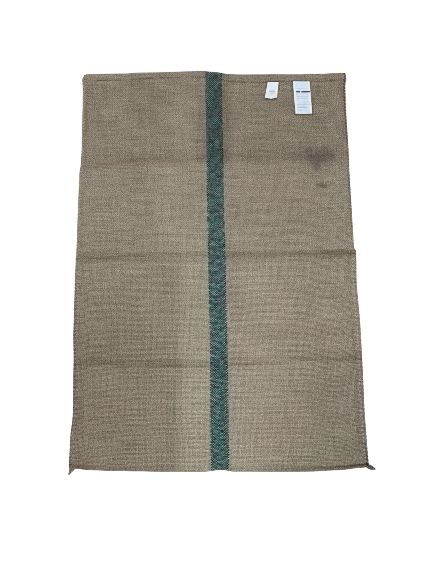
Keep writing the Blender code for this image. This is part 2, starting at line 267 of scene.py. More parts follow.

# The left and the right side from mouth to fold, in percent: how much paler the edge is, painted
# light above 0 and painted shade below, and the stitched line beside it, and how grey the edge is.
EDGES = (
    table(
        "along edge line grey",
        (500, 2, -8, 5), (430, 5, -20, 0), (350, 5, -14, 0), (60, 4, -8, 0), (-40, -8, -4, 0),
        (-170, -26, -4, 0), (-240, -24, -6, 5), (-370, -22, -8, 15), (-430, -4, -10, 45),
        (-480, -20, -4, 45),
    ),
    table(
        "along edge line grey",
        (500, -38, -10, 0), (430, -44, -14, 0), (340, -27, -12, 0), (265, -12, 0, 10),
        (200, -34, 0, 10), (120, -18, 0, 0), (20, -6, 14, 0), (-40, 0, 26, 0), (-190, -6, 18, 5),
        (-350, -16, 6, 15), (-385, 2, 5, 60), (-435, 2, 3, 60), (-480, -34, -10, 30),
    ),
)
# How strongly the stitches stand out as pale dots of twine, with dark dots of painted shade
# between, along the left and the right side, in percent, and how far in from the side they lie, in
# millimetres.
STITCH_DOTS = (
    table(
        "along dots in",
        (480, 20, 5.6), (420, 32, 5.6), (300, 30, 5.6), (200, 40, 4.8), (60, 34, 4.8), (0, 40, 8),
        (-160, 36, 8), (-240, 8, 8), (-440, 16, 8.5), (-490, 10, 8.5),
    ),
    table(
        "along dots in",
        (480, 0, 7), (420, 0, 7), (300, 0, 7), (200, 14, 5), (60, 18, 5), (0, 52, 7),
        (-160, 56, 7), (-240, 56, 7), (-440, 58, 7), (-490, 20, 7),
    ),
)
STRIPE_HIDES = 0.6            # how much of the creases' painted shade and soil the stripe's dye hides
BACK_TONE = 0.94              # how pale the back and the inside are
INSIDE_TONE = 0.86
EDGE_REACH = 5.2 * MM         # the width of an edge that differs
EDGE_FADE = 3 * MM
LINE_AT = 9.5 * MM            # the stitched line's distance from the side
SIDE_LINE = 1.8 * MM          # the half widths of that line,
DOT_REACH = 2.2 * MM          # of the row of dots,
HEM_SHADOW = 1.6 * MM           # of the painted shadow along the hem,
FOLD_SHADOW_REACH = 3.3 * MM         # and of the painted shadow beside the fold
LABEL_SHADOW_WIDTH = 1.2 * MM         # the painted shadow round a label
LABEL_SHADOW_FADE = 1.8 * MM
LABEL_SHADOW_TONE = 0.3               # how much darker and greyer it is
LABEL_SHADOW_GREY = 0.5

# The painted shadow in the dent beside the bottom fold: how dark it is, in percent, and how far
# it lies from the fold's edge, in millimetres.
FOLD_SHADOW = table(
    "across dark from",
    (-350, 20, 6.0), (-290, 12, 6.5), (-120, 12, 6.5), (60, 18, 6.0), (200, 34, 6.0),
    (290, 50, 5.5), (350, 52, 5.0),
)

# Stains, in millimetres: centre, half sizes, strength.
STAINS = table(
    "x y wide high strength",
    (263, 266, 29, 17, 1.0), (241, 282, 14, 11, 0.75), (290, 270, 19, 12, 0.9),
    (260, 245, 12, 19, 0.9), (258, 266, 52, 36, 0.3), (275, 187, 9, 5, 1.5),
    (264, 191, 5, 4.5, 1.3),
)

# Rows from mouth to fold and columns from the left side: where each stretch ends, in
# millimetres, and its steps. Each count divides by 4, because hidden faces use every 4th.
ROW_STRETCHES = ((2, 4), (12.8, 4), (20.8, 16), (24, 4), (1000, 432))
COLUMN_STRETCHES = ((8, 4), (20, 4), (680, 104), (692, 4), (700, 4))
SEAM_COLUMNS = 4              # columns in the oversewn strip
CEILING_THIN = 2              # the ceiling has every 2nd row and column
LEVEL_THIN = 4                # the level faces have every 4th
FOLD_TURNS = 8                # steps round the fold, a side and a lip
SIDE_STEPS = 8
LIP_STEPS = 4
HEM_ROUND = 1.3 * MM          # how far a hem's folded edge rounds out
SCALLOP = 0.55 * MM           # how far a stitch draws a side in
STITCH_DIP = 0.35 * MM        # and presses it down


def smooth(share):
    """0 up to 0, 1 from 1 on, and an even S between."""
    share = np.clip(share, 0.0, 1.0)
    return share * share * (3.0 - 2.0 * share)


def read(rows, column, at):
    """A column of a table in millimetres, easing from each row's place to the next.

    A row's place is in its table's first column.
    """
    place = next(iter(rows[0]))
    rows = sorted(rows, key=lambda row: row[place])
    places, values = (np.array([row[name] for row in rows]) * MM for name in (place, column))
    after = np.clip(np.searchsorted(places, at), 1, len(rows) - 1)
    before = after - 1
    share = smooth((at - places[before]) / (places[after] - places[before]))
    return values[before] + share * (values[after] - values[before])


def percent(rows, column, at):
    """A column of a table in percent, as shares."""
    return read(rows, column, at) / MM / 100


def bell(away, reach):
    """A bell curve: 1 in the middle, and about a third at the reach."""
    return np.exp(-((away / reach) ** 2))


def ridge(x, y):
    """The middle ridge's share of its full rise: half a cosine wave down each flank."""
    down = LENGTH / 2 - y
    from_crest = x - RIDGE_AT_MOUTH - down / LENGTH * (RIDGE_AT_FOLD - RIDGE_AT_MOUTH)
    flank = np.where(from_crest < 0.0, RIDGE_LEFT, RIDGE_RIGHT)
    return 0.5 + 0.5 * np.cos(np.pi * np.clip(np.abs(from_crest) / flank, 0.0, 1.0))


def creases(x, y):
    """The creases' height: a bell curve across each, and a narrow pressed line in it.

    Along its course each swells and sinks by a quarter, in a sine wave.
    """
    total = np.zeros(np.broadcast(x, y).shape)
    for crease in CREASES:
        away = y - read(crease["course"], "at", x)
        reach = np.where(away > 0.0, crease["up"], crease["down"]) * MM
        bridged = RIDGE_SHIELD * ridge(x, y) if crease["height"] < 0.0 else 0.0
        uneven = 1.0 + 0.25 * np.sin(x / (47 * MM) + 2.0 * crease["up"])
        swell = crease["height"] * bell(away, reach) + crease["line"] * bell(away, LINE_REACH)
        total += MM * (1.0 - bridged) * uneven * swell
    return total


def unevenness(x, y, height):
    """Soft bumps of a cloth that was folded and shaken out: waves of many directions.

    The longer a wave, the higher it is. Their sum reaches about 2.6.
    """
    random = np.random.default_rng(7)
    total = np.zeros(np.broadcast(x, y).shape)
    for wavelength in np.geomspace(SHORTEST_WAVE, LONGEST_WAVE, 22):
        turn, start = random.uniform(0.0, 2 * np.pi, 2)
        along = x * np.cos(turn) + y * np.sin(turn)
        wave = np.sin(2 * np.pi * along / wavelength + start)
        total += (wavelength / LONGEST_WAVE) ** 0.8 * wave
    return total * height / 2.6


def gap(x, y):
    """The height of the space between the layers."""
    loose = LOOSE_GAP + creases(x, y)
    for wave in WAVES:
        along_x = np.sin(2 * np.pi * x / wave["long_x"] + wave["start"])
        along_y = np.sin(2 * np.pi * y / wave["long_y"])
        loose = loose + wave["height"] * along_x * along_y
    from_side = smooth((HALF_WIDTH - SEAM_DEPTH - np.abs(x)) / LOOSE_REACH)
    from_fold = smooth((y + LENGTH / 2) / FOLD_REACH)
    held = FOLD_HOLD + (1.0 - FOLD_HOLD) * from_fold
    uneven = from_side * from_fold * unevenness(x, y, bpy.context.scene.sack_cloth.unevenness)
    loose = from_side * loose + uneven
    return np.maximum(held * (loose + RIDGE_RISE * ridge(x, y)), SEAM_GAP)


def hem(x, down):
    """What a turned hem adds to its layer, at a distance from the mouth."""
    return CLOTH * smooth((read(HEM_EDGE, "deep", x) - down) / HEM_STEP)


def stitch_pull(down):
    """1 where an overhead stitch holds a side, 0 halfway to the next: a narrowed cosine."""
    pitch = bpy.context.scene.sack_seams.pitch
    return (0.5 + 0.5 * np.cos(2 * np.pi * down / pitch)) ** 1.5


def heights(x, y, down):
    """Heights of the back layer's upper face and the front layer's lower and upper faces."""
    lift = CLOTH * smooth((HEM_DEPTH + HEM_LIFT - down) / HEM_LIFT)
    under = CLOTH + lift + gap(x, y)
    # 1 over the oversewn strip, and 0 from 3 mm beside it.
    sewn = smooth((np.abs(x) - HALF_WIDTH + SEAM_DEPTH + 3 * MM) / (5 * MM))
    top = under + CLOTH + hem(x, down) - sewn * STITCH_DIP * stitch_pull(down)
    return CLOTH + hem(x, down), under, top


def fold_radius(x):
    """The bottom fold's outer radius: half of the height of both layers there."""
    return CLOTH + gap(x, -LENGTH / 2) / 2


def plan(across, down):
    """Where a place on the sack lies, seen from above.

    across runs from -1 at the left side to 1 at the right. down is the distance from the
    mouth, along the sack's middle.
    """
    along = LENGTH / 2 - down
    drawn_in = SCALLOP * stitch_pull(down)
    left = read(SIDES, "left", along) + SEAM_BULGE + drawn_in
    right = read(SIDES, "right", along) - SEAM_BULGE - drawn_in
    x = left + (across + 1.0) / 2 * (right - left)
    mouth = read(ENDS, "mouth", x)
    fold = read(ENDS, "fold", x) + fold_radius(x)
    return x, mouth + down / LENGTH * (fold - mouth)


def stretch_places(stretches):
    """The places, in metres, of evenly stepped stretches that follow each other from 0."""
    places = [0.0]
    for end, steps in stretches:
        start = places[-1]
        places.extend(start + (end * MM - start) * (k + 1) / steps for k in range(steps))
    return np.array(places)


def drawing_shift():
    """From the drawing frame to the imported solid's: what lies between the two boxes' middles."""
    low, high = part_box("sack_cloth")
    sides = min(row["left"] for row in SIDES) + max(row["right"] for row in SIDES)
    ends = min(row["fold"] for row in ENDS) + max(row["mouth"] for row in ENDS)
    return np.array((low.x + high.x - sides * MM, low.y + high.y - ends * MM, 0.0)) / 2


def front_top(x, y):
    """The height of the front's upper face under a place in the drawing frame."""
    return heights(x, y, read(ENDS, "mouth", x) - y)[2]


# ---------------------------------------------------------------------------------------------
# Meshes from whole arrays.

THREADS = "threads"           # the UV map: place in the cloth, or on a twine or a ribbon
WEAR_AND_SHADE_LAYERS = ("tone", "stain", "grey", "rust", "green")   # one attribute for each
EYE = 2.2                     # the power between light and steps that look even


def quads(ids):
    """The faces between neighbouring rows and columns of grids of vertex numbers."""
    corners = (ids[..., :-1, :-1], ids[..., :-1, 1:], ids[..., 1:, 1:], ids[..., 1:, :-1])
    return np.stack(corners, axis=-1).reshape(-1, 4)


def thinned(ids, step):
    """A grid's faces with whole borders and only every step-th row and column inside.

    Each face runs round a block of cells and takes the block's corners and whatever
    vertices of the grid's own border it meets. Returns all corners and each face's count.
    """
    rows, columns = ids.shape
    run = np.arange(step)
    still = np.zeros(step, int)
    round_row = np.concatenate((still, run, still + step, step - run))
    round_column = np.concatenate((run, still + step, step - run, still))
    block = np.mgrid[0 : rows - 1 : step, 0 : columns - 1 : step].reshape(2, -1, 1)
    row, column = block[0] + round_row, block[1] + round_column
    corner = (row % step == 0) & (column % step == 0)
    border = (row == 0) | (row == rows - 1) | (column == 0) | (column == columns - 1)
    return ids[row, column][corner | border], (corner | border).sum(axis=1)


def new_object(name, data):
    """An object in the scene, at the origin."""
    made = bpy.data.objects.new(name, data)
    bpy.context.scene.collection.objects.link(made)
    return made


def new_piece(name, points, faces, uv, material, wear_and_shade=None):
    """A piece from arrays: vertices, faces as pairs of corners and counts, and UV places.

    The UV places are one for each vertex, or one for each corner. Vertices that no face uses
    are dropped, the drawing frame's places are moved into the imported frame, and the faces are
    turned to point outwards.
    """
    corners = np.concatenate([part[0].ravel() for part in faces])
    counts = np.concatenate([part[1] for part in faces])
    uv = uv if len(uv) == len(corners) else uv[corners]
    used, corners = np.unique(corners, return_inverse=True)
    mesh = bpy.data.meshes.new(name)
    mesh.vertices.add(len(used))
    mesh.vertices.foreach_set("co", (points[used] + drawing_shift()).astype(np.float32).ravel())
    mesh.loops.add(len(corners))
    mesh.loops.foreach_set("vertex_index", corners.astype(np.int32))
    mesh.polygons.add(len(counts))
    mesh.polygons.foreach_set("loop_start", (np.cumsum(counts) - counts).astype(np.int32))
    mesh.update(calc_edges=True)
    layer = mesh.uv_layers.new(name=THREADS)
    layer.uv.foreach_set("vector", uv.astype(np.float32).ravel())
    if wear_and_shade is not None:
        for layer, values in zip(WEAR_AND_SHADE_LAYERS, wear_and_shade[used].T):
            attribute = mesh.attributes.new(layer, "FLOAT", "POINT")
            attribute.data.foreach_set("value", values.astype(np.float32))
    turned = bmesh.new()
    turned.from_mesh(mesh)
    bmesh.ops.recalc_face_normals(turned, faces=turned.faces)
    turned.to_mesh(mesh)
    turned.free()
    mesh.shade_smooth()
    mesh.materials.append(material)
    return new_object(name, mesh)


def whole(faces):
    """Faces that all have as many corners, as the pair that new_piece takes."""
    return faces, np.full(len(faces), faces.shape[1])


def tubes(routes, radius, sides, across):
    """Round tubes along routes: rings whose first axis is the route's direction crossed with
    a fixed vector, and whose second is the direction crossed with the first.

    radius is one number, or one for each place. Returns vertices, faces and each corner's UV
    place, which is the share round the tube and the metres along it.
    """
    count, places = routes.shape[:2]
    forward = np.gradient(routes, axis=1)
    forward /= np.linalg.norm(forward, axis=2, keepdims=True)
    first = np.cross(forward, np.array(across, float))
    first /= np.linalg.norm(first, axis=2, keepdims=True)
    second = np.cross(forward, first)
    turn = 2 * np.pi * np.arange(sides) / sides
    reach = np.broadcast_to(radius, (count, places))[..., None, None]
    ring = first[:, :, None] * np.cos(turn)[:, None] + second[:, :, None] * np.sin(turn)[:, None]
    points = (routes[:, :, None] + reach * ring).reshape(-1, 3)
    ids = np.arange(len(points)).reshape(count, places, sides)
    walls = quads(np.concatenate((ids, ids[..., :1]), axis=2))
    steps = np.linalg.norm(np.diff(routes, axis=1), axis=2)
    along = np.concatenate((np.zeros((count, 1)), np.cumsum(steps, axis=1)), axis=1)
    share = np.broadcast_to(np.arange(sides + 1) / sides, (count, places, sides + 1))
    uv = np.stack((share, np.broadcast_to(along[..., None], share.shape)), axis=-1)
    spots = np.arange(share.size).reshape(share.shape)
    corners = (quads(spots), spots[:, 0, :-1], spots[:, -1, :-1])
    uv = uv.reshape(-1, 2)[np.concatenate([part.ravel() for part in corners])]
    return points, [whole(walls), whole(ids[:, 0]), whole(ids[:, -1])], uv


def thin_sheet(name, x, y, under, thickness, uv, material):
    """A thin closed sheet on a grid: an upper face, a lower face and its four narrow sides."""
    upper = np.stack((x, y, under + thickness), axis=-1)
    lower = np.stack((x, y, under), axis=-1)
    points = np.concatenate((upper.reshape(-1, 3), lower.reshape(-1, 3)))
    top = np.arange(x.size).reshape(x.shape)
    faces = [whole(quads(top)), whole(quads(top + x.size))]
    for border in (np.s_[0, :], np.s_[-1, :], np.s_[:, 0], np.s_[:, -1]):
        faces.append(whole(quads(np.stack((top[border], top[border] + x.size)))))
    return new_piece(name, points, faces, np.concatenate((uv, uv)).reshape(-1, 2), material)


# ---------------------------------------------------------------------------------------------
# Materials.


def per(size):
    """How many times a pattern of a size in millimetres fits in a metre."""
    return 1 / (size * MM)


def fill(socket, value):
    """Gives a socket a plain value, a node's first output, or a node's output by name."""
    if isinstance(value, bpy.types.Node):
        value = next(output for output in value.outputs if output.enabled)
    elif isinstance(value, tuple) and isinstance(value[0], bpy.types.Node):
        value = value[0].outputs[value[1]]
    if isinstance(value, bpy.types.NodeSocket):
        socket.id_data.links.new(value, socket)
    elif socket.type == "RGBA" and len(value) == 3:
        socket.default_value = (*value, 1.0)
    else:
        socket.default_value = value


def add_node(tree, kind, *inputs, **settings):
    """Adds a shader node. kind is its name, with its operation or data type after a colon.

    Inputs fill its sockets in order. Settings are its sockets by name, or its properties.
    """
    kind, _, choice = kind.partition(":")
    node = tree.nodes.new("ShaderNode" + kind)
    if choice:
        setattr(node, "data_type" if kind == "Mix" else "operation", choice)
    for name, value in settings.items():
        if name in node.inputs:
            fill(node.inputs[name], value)
        else:
            setattr(node, name, value)
    shown = [socket for socket in node.inputs if socket.enabled]
    for socket, value in zip(shown, inputs):
        fill(socket, value)
    return node


def new_material(name, roughness):
    """A material, add_node for its tree, and its Principled shader."""
    material = bpy.data.materials.new(name)
    material.use_nodes = True
    shader = material.node_tree.nodes["Principled BSDF"]
    shader.inputs["Roughness"].default_value = roughness
    return material, partial(add_node, material.node_tree), shader


def jute_sacking(look):
    """Sacking: spun jute yarn, unbleached, in plain weave, over one and under one, matt.

    Each yarn shows as a row of rounded crowns, made paler with painted light, with painted shade
    in the gaps between them, and its slubs draw short pale and dark dashes. The stripe is of dyed
    warp yarns, with the weft between them as paler specks.
    """
    material, add, shader = new_material("woven_jute_sacking", 0.93)
    place = add("UVMap", uv_map=THREADS)
    bend = add("TexNoise", place, Scale=per(166.7), Detail=0.0)
    bend = add("VectorMath:SUBTRACT", (bend, "Color"), (0.5, 0.5, 0.5))
    bend = add("VectorMath:SCALE", bend, Scale=look.wander)
    place = add("VectorMath:ADD", place, bend)
    along = (add("SeparateXYZ", place), "Y")     # 0 at the mouth, -1 at the fold
    # Counted in yarns, with the middle of one warp yarn on the stripe's middle.
    per_metre = (1 / look.warp_pitch, 1 / look.weft_pitch, 0.0)
    yarns = add("VectorMath:MULTIPLY_ADD", place, per_metre, (0.5, 0.0, 0.0))
    counted = add("SeparateXYZ", yarns)
    counts = ((counted, "X"), (counted, "Y"))
    warp, weft = (add("Math:FLOOR", count) for count in counts)
    from_middle = add("Math:ABSOLUTE", add("Math:SUBTRACT", counts[0], 0.5))
    # The stripe is half a yarn wider towards the mouth.
    half_stripe = look.stripe_width / look.warp_pitch / 2
    half_width = add("MapRange", along, -0.75, -0.35, half_stripe, half_stripe + 0.25)
    inside = add("Math:SUBTRACT", half_width, from_middle)
    striped = add("MapRange", inside, -0.4, 0.4)
    # The dye has bled: its hue, though not its depth, fades over eight yarns at either edge.
    dyed = add("MapRange", inside, -4.2, 4.0, interpolation_type="SMOOTHSTEP")

    # Noise over the cloth, a row for each: its size in millimetres and its detail, the stretch
    # of it that counts, and what that stretch becomes.
    level, cloud_tone, hue, dye, faded, frayed = (
        add("MapRange", add("TexNoise", place, Scale=per(size), Detail=detail), *ends)
        for size, detail, *ends in (
            (10, 1.0, 0.3, 0.62, 1 - look.fullness, 1.0),
            (125, 2.0, 0.25, 0.75, 0.93, 1.07),
            (125, 3.0, 0.3, 0.6, 0.3, 1.0),
            (23.81, 1.0, 0.4, 0.6, 0.0, 1.0),
            (27.78, 1.0, 0.42, 0.62, 0.12, 0.66),
            (6.25, 3.0, 0.3, 0.6, 0.5, 1.0),
        )
    )
    faded.clamp = False

    # 1 where the warp lies on top. Where the yarns are fuller the two sets lie level, and the
    # check between them is faint.
    plain = add("Math:FLOORED_MODULO", add("Math:ADD", warp, weft), 2.0)
    warp_over = add("Math:LESS_THAN", plain, 1.0)
    over = add("Mix", level, 0.5, warp_over)

    # The yarns' twist shades each crossing along one slant, from upper left to lower right.
    slant = add("Math:MULTIPLY", add("Math:ADD", *counts), math.pi)
    slant = add("Math:MULTIPLY_ADD", add("Math:COSINE", slant), -look.twist_tone, warp_over)
    lifted = add("Mix", level, 0.5, slant)

    # Each yarn is round across its width: half a sine wave, painted as a paler crown between
    # shaded gaps. The warp's gaps are the fainter.
    rounds = []
    crown_shades = []
    for count, deep in zip(counts, (look.gap_shade * 0.55, look.gap_shade)):
        crown = add("Math:MULTIPLY", add("Math:FRACT", count), math.pi)
        rounds.append(add("Math:SINE", crown))
        crown_shades.append(add("MapRange", rounds[-1], 0.0, 1.0, 1 - deep, 1 + deep / 2))
    warp_round, weft_round = rounds
    crown_shade = add("Math:MULTIPLY", *crown_shades)
    # Towards the mouth the yarns lie closer: their gaps show less and the check shows more.
    open_weave = add("MapRange", along, -0.2, -0.65, 0.3, 0.75)
    crown_shade = add("Mix", open_weave, 1.0, crown_shade)
    check = add("MapRange", along, -0.35, -0.65, 1.0, 0.65)
    lifted = add("Mix", check, 0.5, lifted)
    # The stripe's dyed warp is finer, so that its rows of weft stand further apart.
    rows = add("MapRange", weft_round, 0.0, 1.0, 0.2, 1.38)
    crown_shade = add("Math:MULTIPLY", crown_shade, add("Mix", striped, 1.0, rows))

    # Slubs: where one yarn is thick and pale its neighbours are squeezed thin and dark, so the
    # tone alternates over two yarns, and runs on for long along them. Crossings differ too.
    tones = []
    for runs_x, runs_y, contrast in (
        (0.95, look.slub, 0.6 * look.slub_tone),
        (look.slub, 0.95, look.slub_tone),
        (0.95, 0.9, look.fleck_tone),
    ):
        slubs = add("VectorMath:MULTIPLY", yarns, (runs_x, runs_y, 0.0))
        slubs = add("TexNoise", slubs, noise_dimensions="2D", Scale=1.0, Detail=0.0)
        tones.append(add("MapRange", slubs, 0.2, 0.8, 1 - contrast, 1 + contrast))
    speck = add("TexWhiteNoise", add("CombineXYZ", warp, weft), noise_dimensions="2D")
    tones.append(add("MapRange", speck, 0.0, 1.0, 1 - look.speck_tone, 1 + look.speck_tone))

    # In the stripe the dyed warp is dark and the weft between shows as paler specks, which
    # differ more towards the mouth, while the warp's own dashes fade there.
    dashes = add("VectorMath:MULTIPLY", place, (per(14.29), per(3.03), 0.0))
    dashes = add("TexNoise", dashes, noise_dimensions="2D", Scale=1.0, Detail=0.0)
    dashes = add("MapRange", dashes, 0.2, 0.8, 0.4, 1.6)
    dashes = add("Mix", add("MapRange", along, -0.45, 0.0, 1.0, 0.4), 1.0, dashes)
    uneven = add("MapRange", speck, 0.0, 1.0, 0.6, 1.4)
    weft_shows = add("Math:SUBTRACT", 1.0, add("Mix", 0.55, over, warp_over))
    weft_shows = add("Math:POWER", weft_shows, 2.0)
    weft_shows = add("MapRange", weft_shows, 0.0, 1.0, -0.68, 0.8)
    pale_weft = (look.weft_in_stripe, 1.4 * look.weft_in_stripe)
    pale_weft = add("MapRange", along, -0.35, 0.0, *pale_weft)
    weft_shows = add("Math:POWER", pale_weft, weft_shows)
    for factor in (dashes, uneven):
        weft_shows = add("Math:MULTIPLY", weft_shows, factor)
    lift = look.lift_tone
    lift_tone = add("MapRange", lifted, 0.0, 1.0, 1 - lift, 1 + lift, clamp=False)
    lift_tone = add("Mix", striped, lift_tone, weft_shows)

    # Broad tones: soiled and clean patches, with painted light and shade, come with the mesh;
    # cloudiness is noise.
    worn_and_shaded, stain, grey, rust, green = (
        (add("Attribute", attribute_name=layer), "Fac") for layer in WEAR_AND_SHADE_LAYERS
    )
    tone, *factors = (*tones, crown_shade, lift_tone, cloud_tone, worn_and_shaded)
    for factor in factors:
        tone = add("Math:MULTIPLY", tone, factor)

    # Colours: undyed jute drifts between greenish and pinkish fawn, and the dye between teal,
    # green and slate. Nearer the mouth the dye has faded to slate.
    hue = add("Math:SUBTRACT", hue, green, use_clamp=True)
    jute = add("Mix:RGBA", hue, look.greenish, look.pinkish)
    stripe = add("Mix:RGBA", dye, look.green, look.teal)
    towards_mouth = add("MapRange", along, -1.0, 0.0, -0.35, 0.35)
    faded = add("Math:ADD", faded, towards_mouth, use_clamp=True)
    stripe = add("Mix:RGBA", faded, stripe, look.slate)
    colour = add("Mix:RGBA", dyed, jute, stripe)
    stained = add("Math:MULTIPLY", stain, frayed)
    # The grey tint also paints the shadow round the labels.
    for share, tint in ((stained, look.stain), (grey, look.edge), (rust, look.rust)):
        colour = add("Mix:RGBA", share, colour, tint)

    # Tone, with its painted light and shade, moves the three channels by even steps, so pale
    # crowns are greyer than the yarn and the shaded gaps browner. The steps are even to the eye.
    # The stripe's depth changes sharply at its edges, where its hue doesn't.
    shown = add("Gamma", colour, 1 / EYE)
    steps = add("Math:LOGARITHM", add("Math:MAXIMUM", tone, 0.05), math.e)
    steps = add("Math:MULTIPLY", steps, 1 / EYE)
    steps = add("Math:MULTIPLY", steps, add("RGBToBW", shown))
    depths = []
    for share in (striped, dyed):
        mixed = add("Mix:RGBA", share, jute, stripe)
        depths.append(add("RGBToBW", add("Gamma", mixed, 1 / EYE)))
    steps = add("Math:ADD", steps, add("Math:SUBTRACT", *depths))
    shown = add("VectorMath:ADD", shown, steps)
    shown = add("VectorMath:MAXIMUM", shown, (0.03, 0.03, 0.03))
    fill(shader.inputs["Base Color"], add("Gamma", shown, EYE))

    # Relief: the yarns' roundness, and loose fibres on them. Those are finer than 0.1 mm, and
    # are drawn 0.7 mm apart so that they show.
    height = add("Mix", warp_over, weft_round, warp_round)
    fibres = add("TexNoise", place, Scale=per(0.7143), Detail=2.0)
    relief = add("Math:ADD", height, add("Math:MULTIPLY", fibres, 0.5))
    bump = add("Bump", Height=relief, Distance=look.relief, Strength=0.8)
    fill(shader.inputs["Normal"], bump)
    shader.inputs["Specular IOR Level"].default_value = 0.2
    shader.inputs["Sheen Weight"].default_value = 0.12
    shader.inputs["Sheen Roughness"].default_value = 0.6
    return material


def plied_jute(name, pale, dark, share, ply_length, plies):
    """Jute twine of plies spun together, some pale and some dyed, which wind round it."""
    material, add, shader = new_material(name, 0.9)
    place = add("SeparateXYZ", add("UVMap", uv_map=THREADS))
    wound = add("Math:MULTIPLY", (place, "Y"), 1 / ply_length)
    wound = add("Math:ADD", (place, "X"), wound)
    ply = add("Math:FRACT", add("Math:MULTIPLY", wound, float(plies)))
    round_ply = add("Math:SINE", add("Math:MULTIPLY", ply, math.pi))
    which = add("Math:LESS_THAN", add("Math:FRACT", wound), share)
    # The flecks are fibres finer than 0.1 mm, drawn 1.1 mm apart so that they show.
    fleck = add("TexNoise", (add("TexCoord"), "Object"), Scale=per(1.111), Detail=3.0)
    shade = add("MapRange", round_ply, 0.0, 1.0, 0.55, 1.05)
    shade = add("Math:MULTIPLY", shade, add("MapRange", fleck, 0.3, 0.7, 0.7, 1.35))
    colour = add("Mix:RGBA", which, dark, pale)
    fill(shader.inputs["Base Color"], add("VectorMath:SCALE", colour, Scale=shade))
    relief = add("Math:ADD", round_ply, fleck)
    bump = add("Bump", Height=relief, Distance=0.25 * MM, Strength=0.7)
    fill(shader.inputs["Normal"], bump)
    shader.inputs["Specular IOR Level"].default_value = 0.2
    shader.inputs["Sheen Weight"].default_value = 0.15
    return material


def satin_ribbon(name, look, rules, clean):
    """Label ribbon: white polyester yarn in a close satin weave, smooth with a faint sheen.

    rules are plain ruled bands across it, as shares of its length: the middle, the half
    depth, the strength of the ink, and where the band starts and ends across. clean is how
    far the ribbon between its margins is as white as they are.
    """
    material, add, shader = new_material(name, 0.55)
    place = add("UVMap", uv_map=THREADS)
    parts = add("SeparateXYZ", place)
    across, along = (parts, "X"), (parts, "Y")
    ink = 0.0
    for rule in rules:
        away = add("Math:ABSOLUTE", add("Math:SUBTRACT", along, rule["at"]))
        band = add("MapRange", away, rule["half"] * 0.7, rule["half"] * 1.3, 1.0, 0.0)
        beyond = add("Math:GREATER_THAN", across, rule["from"])
        before = add("Math:LESS_THAN", across, rule["to"])
        for factor in (beyond, before, rule["ink"]):
            band = add("Math:MULTIPLY", band, factor)
        ink = add("Math:MAXIMUM", ink, band)
    cloud = add("TexNoise", place, Scale=6.0, Detail=3.0)     # a sixth of its sides
    cloud = add("MapRange", cloud, 0.35, 0.65)
    ribbon = add("Mix:RGBA", cloud, look.ribbon, look.ribbon_shade)
    aside = add("Math:ABSOLUTE", add("Math:SUBTRACT", across, 0.5))
    margin = add("MapRange", aside, 0.36, 0.43, clean, 1.0)
    ribbon = add("Mix:RGBA", margin, ribbon, look.selvedge)
    fill(shader.inputs["Base Color"], add("Mix:RGBA", ink, ribbon, look.ink))
    # Satin yarns of 0.25 mm are too fine to show, so their ribs are drawn 2 mm apart. A wave
    # of scale 1 has ribs a tenth of pi apart.
    ribs = math.pi / 10 * per(1.9635)
    weave = add("TexWave", (add("TexCoord"), "Object"), Scale=ribs, Distortion=1.5)
    bump = add("Bump", Height=weave, Distance=0.05 * MM, Strength=0.4)
    fill(shader.inputs["Normal"], bump)
    shader.inputs["Sheen Weight"].default_value = 0.1
    return material


def matt_board(look):
    """Studio floor: smooth board under matt emulsion paint, faintly mottled by the roller."""
    material, add, shader = new_material("matt_painted_board", 0.85)
    mottle = add("TexNoise", (add("TexCoord"), "Object"), Scale=per(333.3), Detail=4.0)
    tone = add("MapRange", mottle, 0.3, 0.7, 0.985, 1.0)
    colour = add("VectorMath:SCALE", tuple(look.floor), Scale=tone)
    fill(shader.inputs["Base Color"], colour)
    return material


# ---------------------------------------------------------------------------------------------
# Settings that a user may change.


def size_setting(name, description, default):
    """A length, in metres."""
    return FloatProperty(name=name, description=description, default=default, unit="LENGTH")


def factor_setting(name, description, default):
    """A share from 0 to 1."""
    return FloatProperty(
        name=name, description=description, default=default, subtype="FACTOR", min=0.0, max=1.0
    )


def colour_setting(name, description, hex_colour):
    """A colour, given as sRGB hex."""
    return FloatVectorProperty(
        name=name, description=description, default=linear(hex_colour), size=3,
        subtype="COLOR", min=0.0, max=1.0,
    )


class SackCloth(PropertyGroup):
    unevenness: size_setting("Unevenness", "How far the loose front rises and falls", 0.5 * MM)
    warp_pitch: size_setting("Warp spacing", "From one warp yarn to the next", 2.86 * MM)
    weft_pitch: size_setting("Weft spacing", "From one weft yarn to the next", 2.87 * MM)
    stripe_width: size_setting("Stripe width", "The dyed stripe, across", 43.0 * MM)
    wander: size_setting("Wander", "How far the yarns stray from straight lines", 2.5 * MM)
    relief: size_setting("Relief", "Depth of the weave", 0.5 * MM)
    slub: FloatProperty(
        name="Slub rate", description="How fast a yarn's tone changes along it", default=0.035
    )
    slub_tone: factor_setting("Slub contrast", "How much paler a yarn is in places", 0.15)
    fleck_tone: factor_setting("Fleck contrast", "How much thick and thin places differ", 0.33)
    speck_tone: factor_setting("Speck contrast", "How much single crossings differ", 0.16)
    gap_shade: factor_setting("Gap darkness", "How dark the gaps between yarns are", 0.4)
    lift_tone: factor_setting("Lift", "How much paler the warp is than the weft", 0.18)
    twist_tone: factor_setting("Twist", "How far the twist slants the shading", 0.25)
    fullness: factor_setting("Fullness", "How far full yarns hide the check", 0.75)
    greenish: colour_setting("Jute, greenish", "Undyed jute where it is greener", "#888170")
    pinkish: colour_setting("Jute, pinkish", "Undyed jute where it is redder", "#8a7f71")
    teal: colour_setting("Dye, teal", "Dyed warp of the stripe", "#2d5655")
    green: colour_setting("Dye, green", "Dyed warp where it is greener", "#355751")
    slate: colour_setting("Dye, slate", "Dyed warp where it has faded", "#3e4e4e")
    weft_in_stripe: FloatProperty(
        name="Weft in the stripe", description="How pale the weft is there", default=3.3
    )
    stain: colour_setting("Stain", "An old damp stain", "#5f564d")
    edge: colour_setting("Edge", "Greyed cloth under the side stitches", "#70746b")
    rust: colour_setting("Rust", "Brown dust and rust on the cloth", "#7c6656")


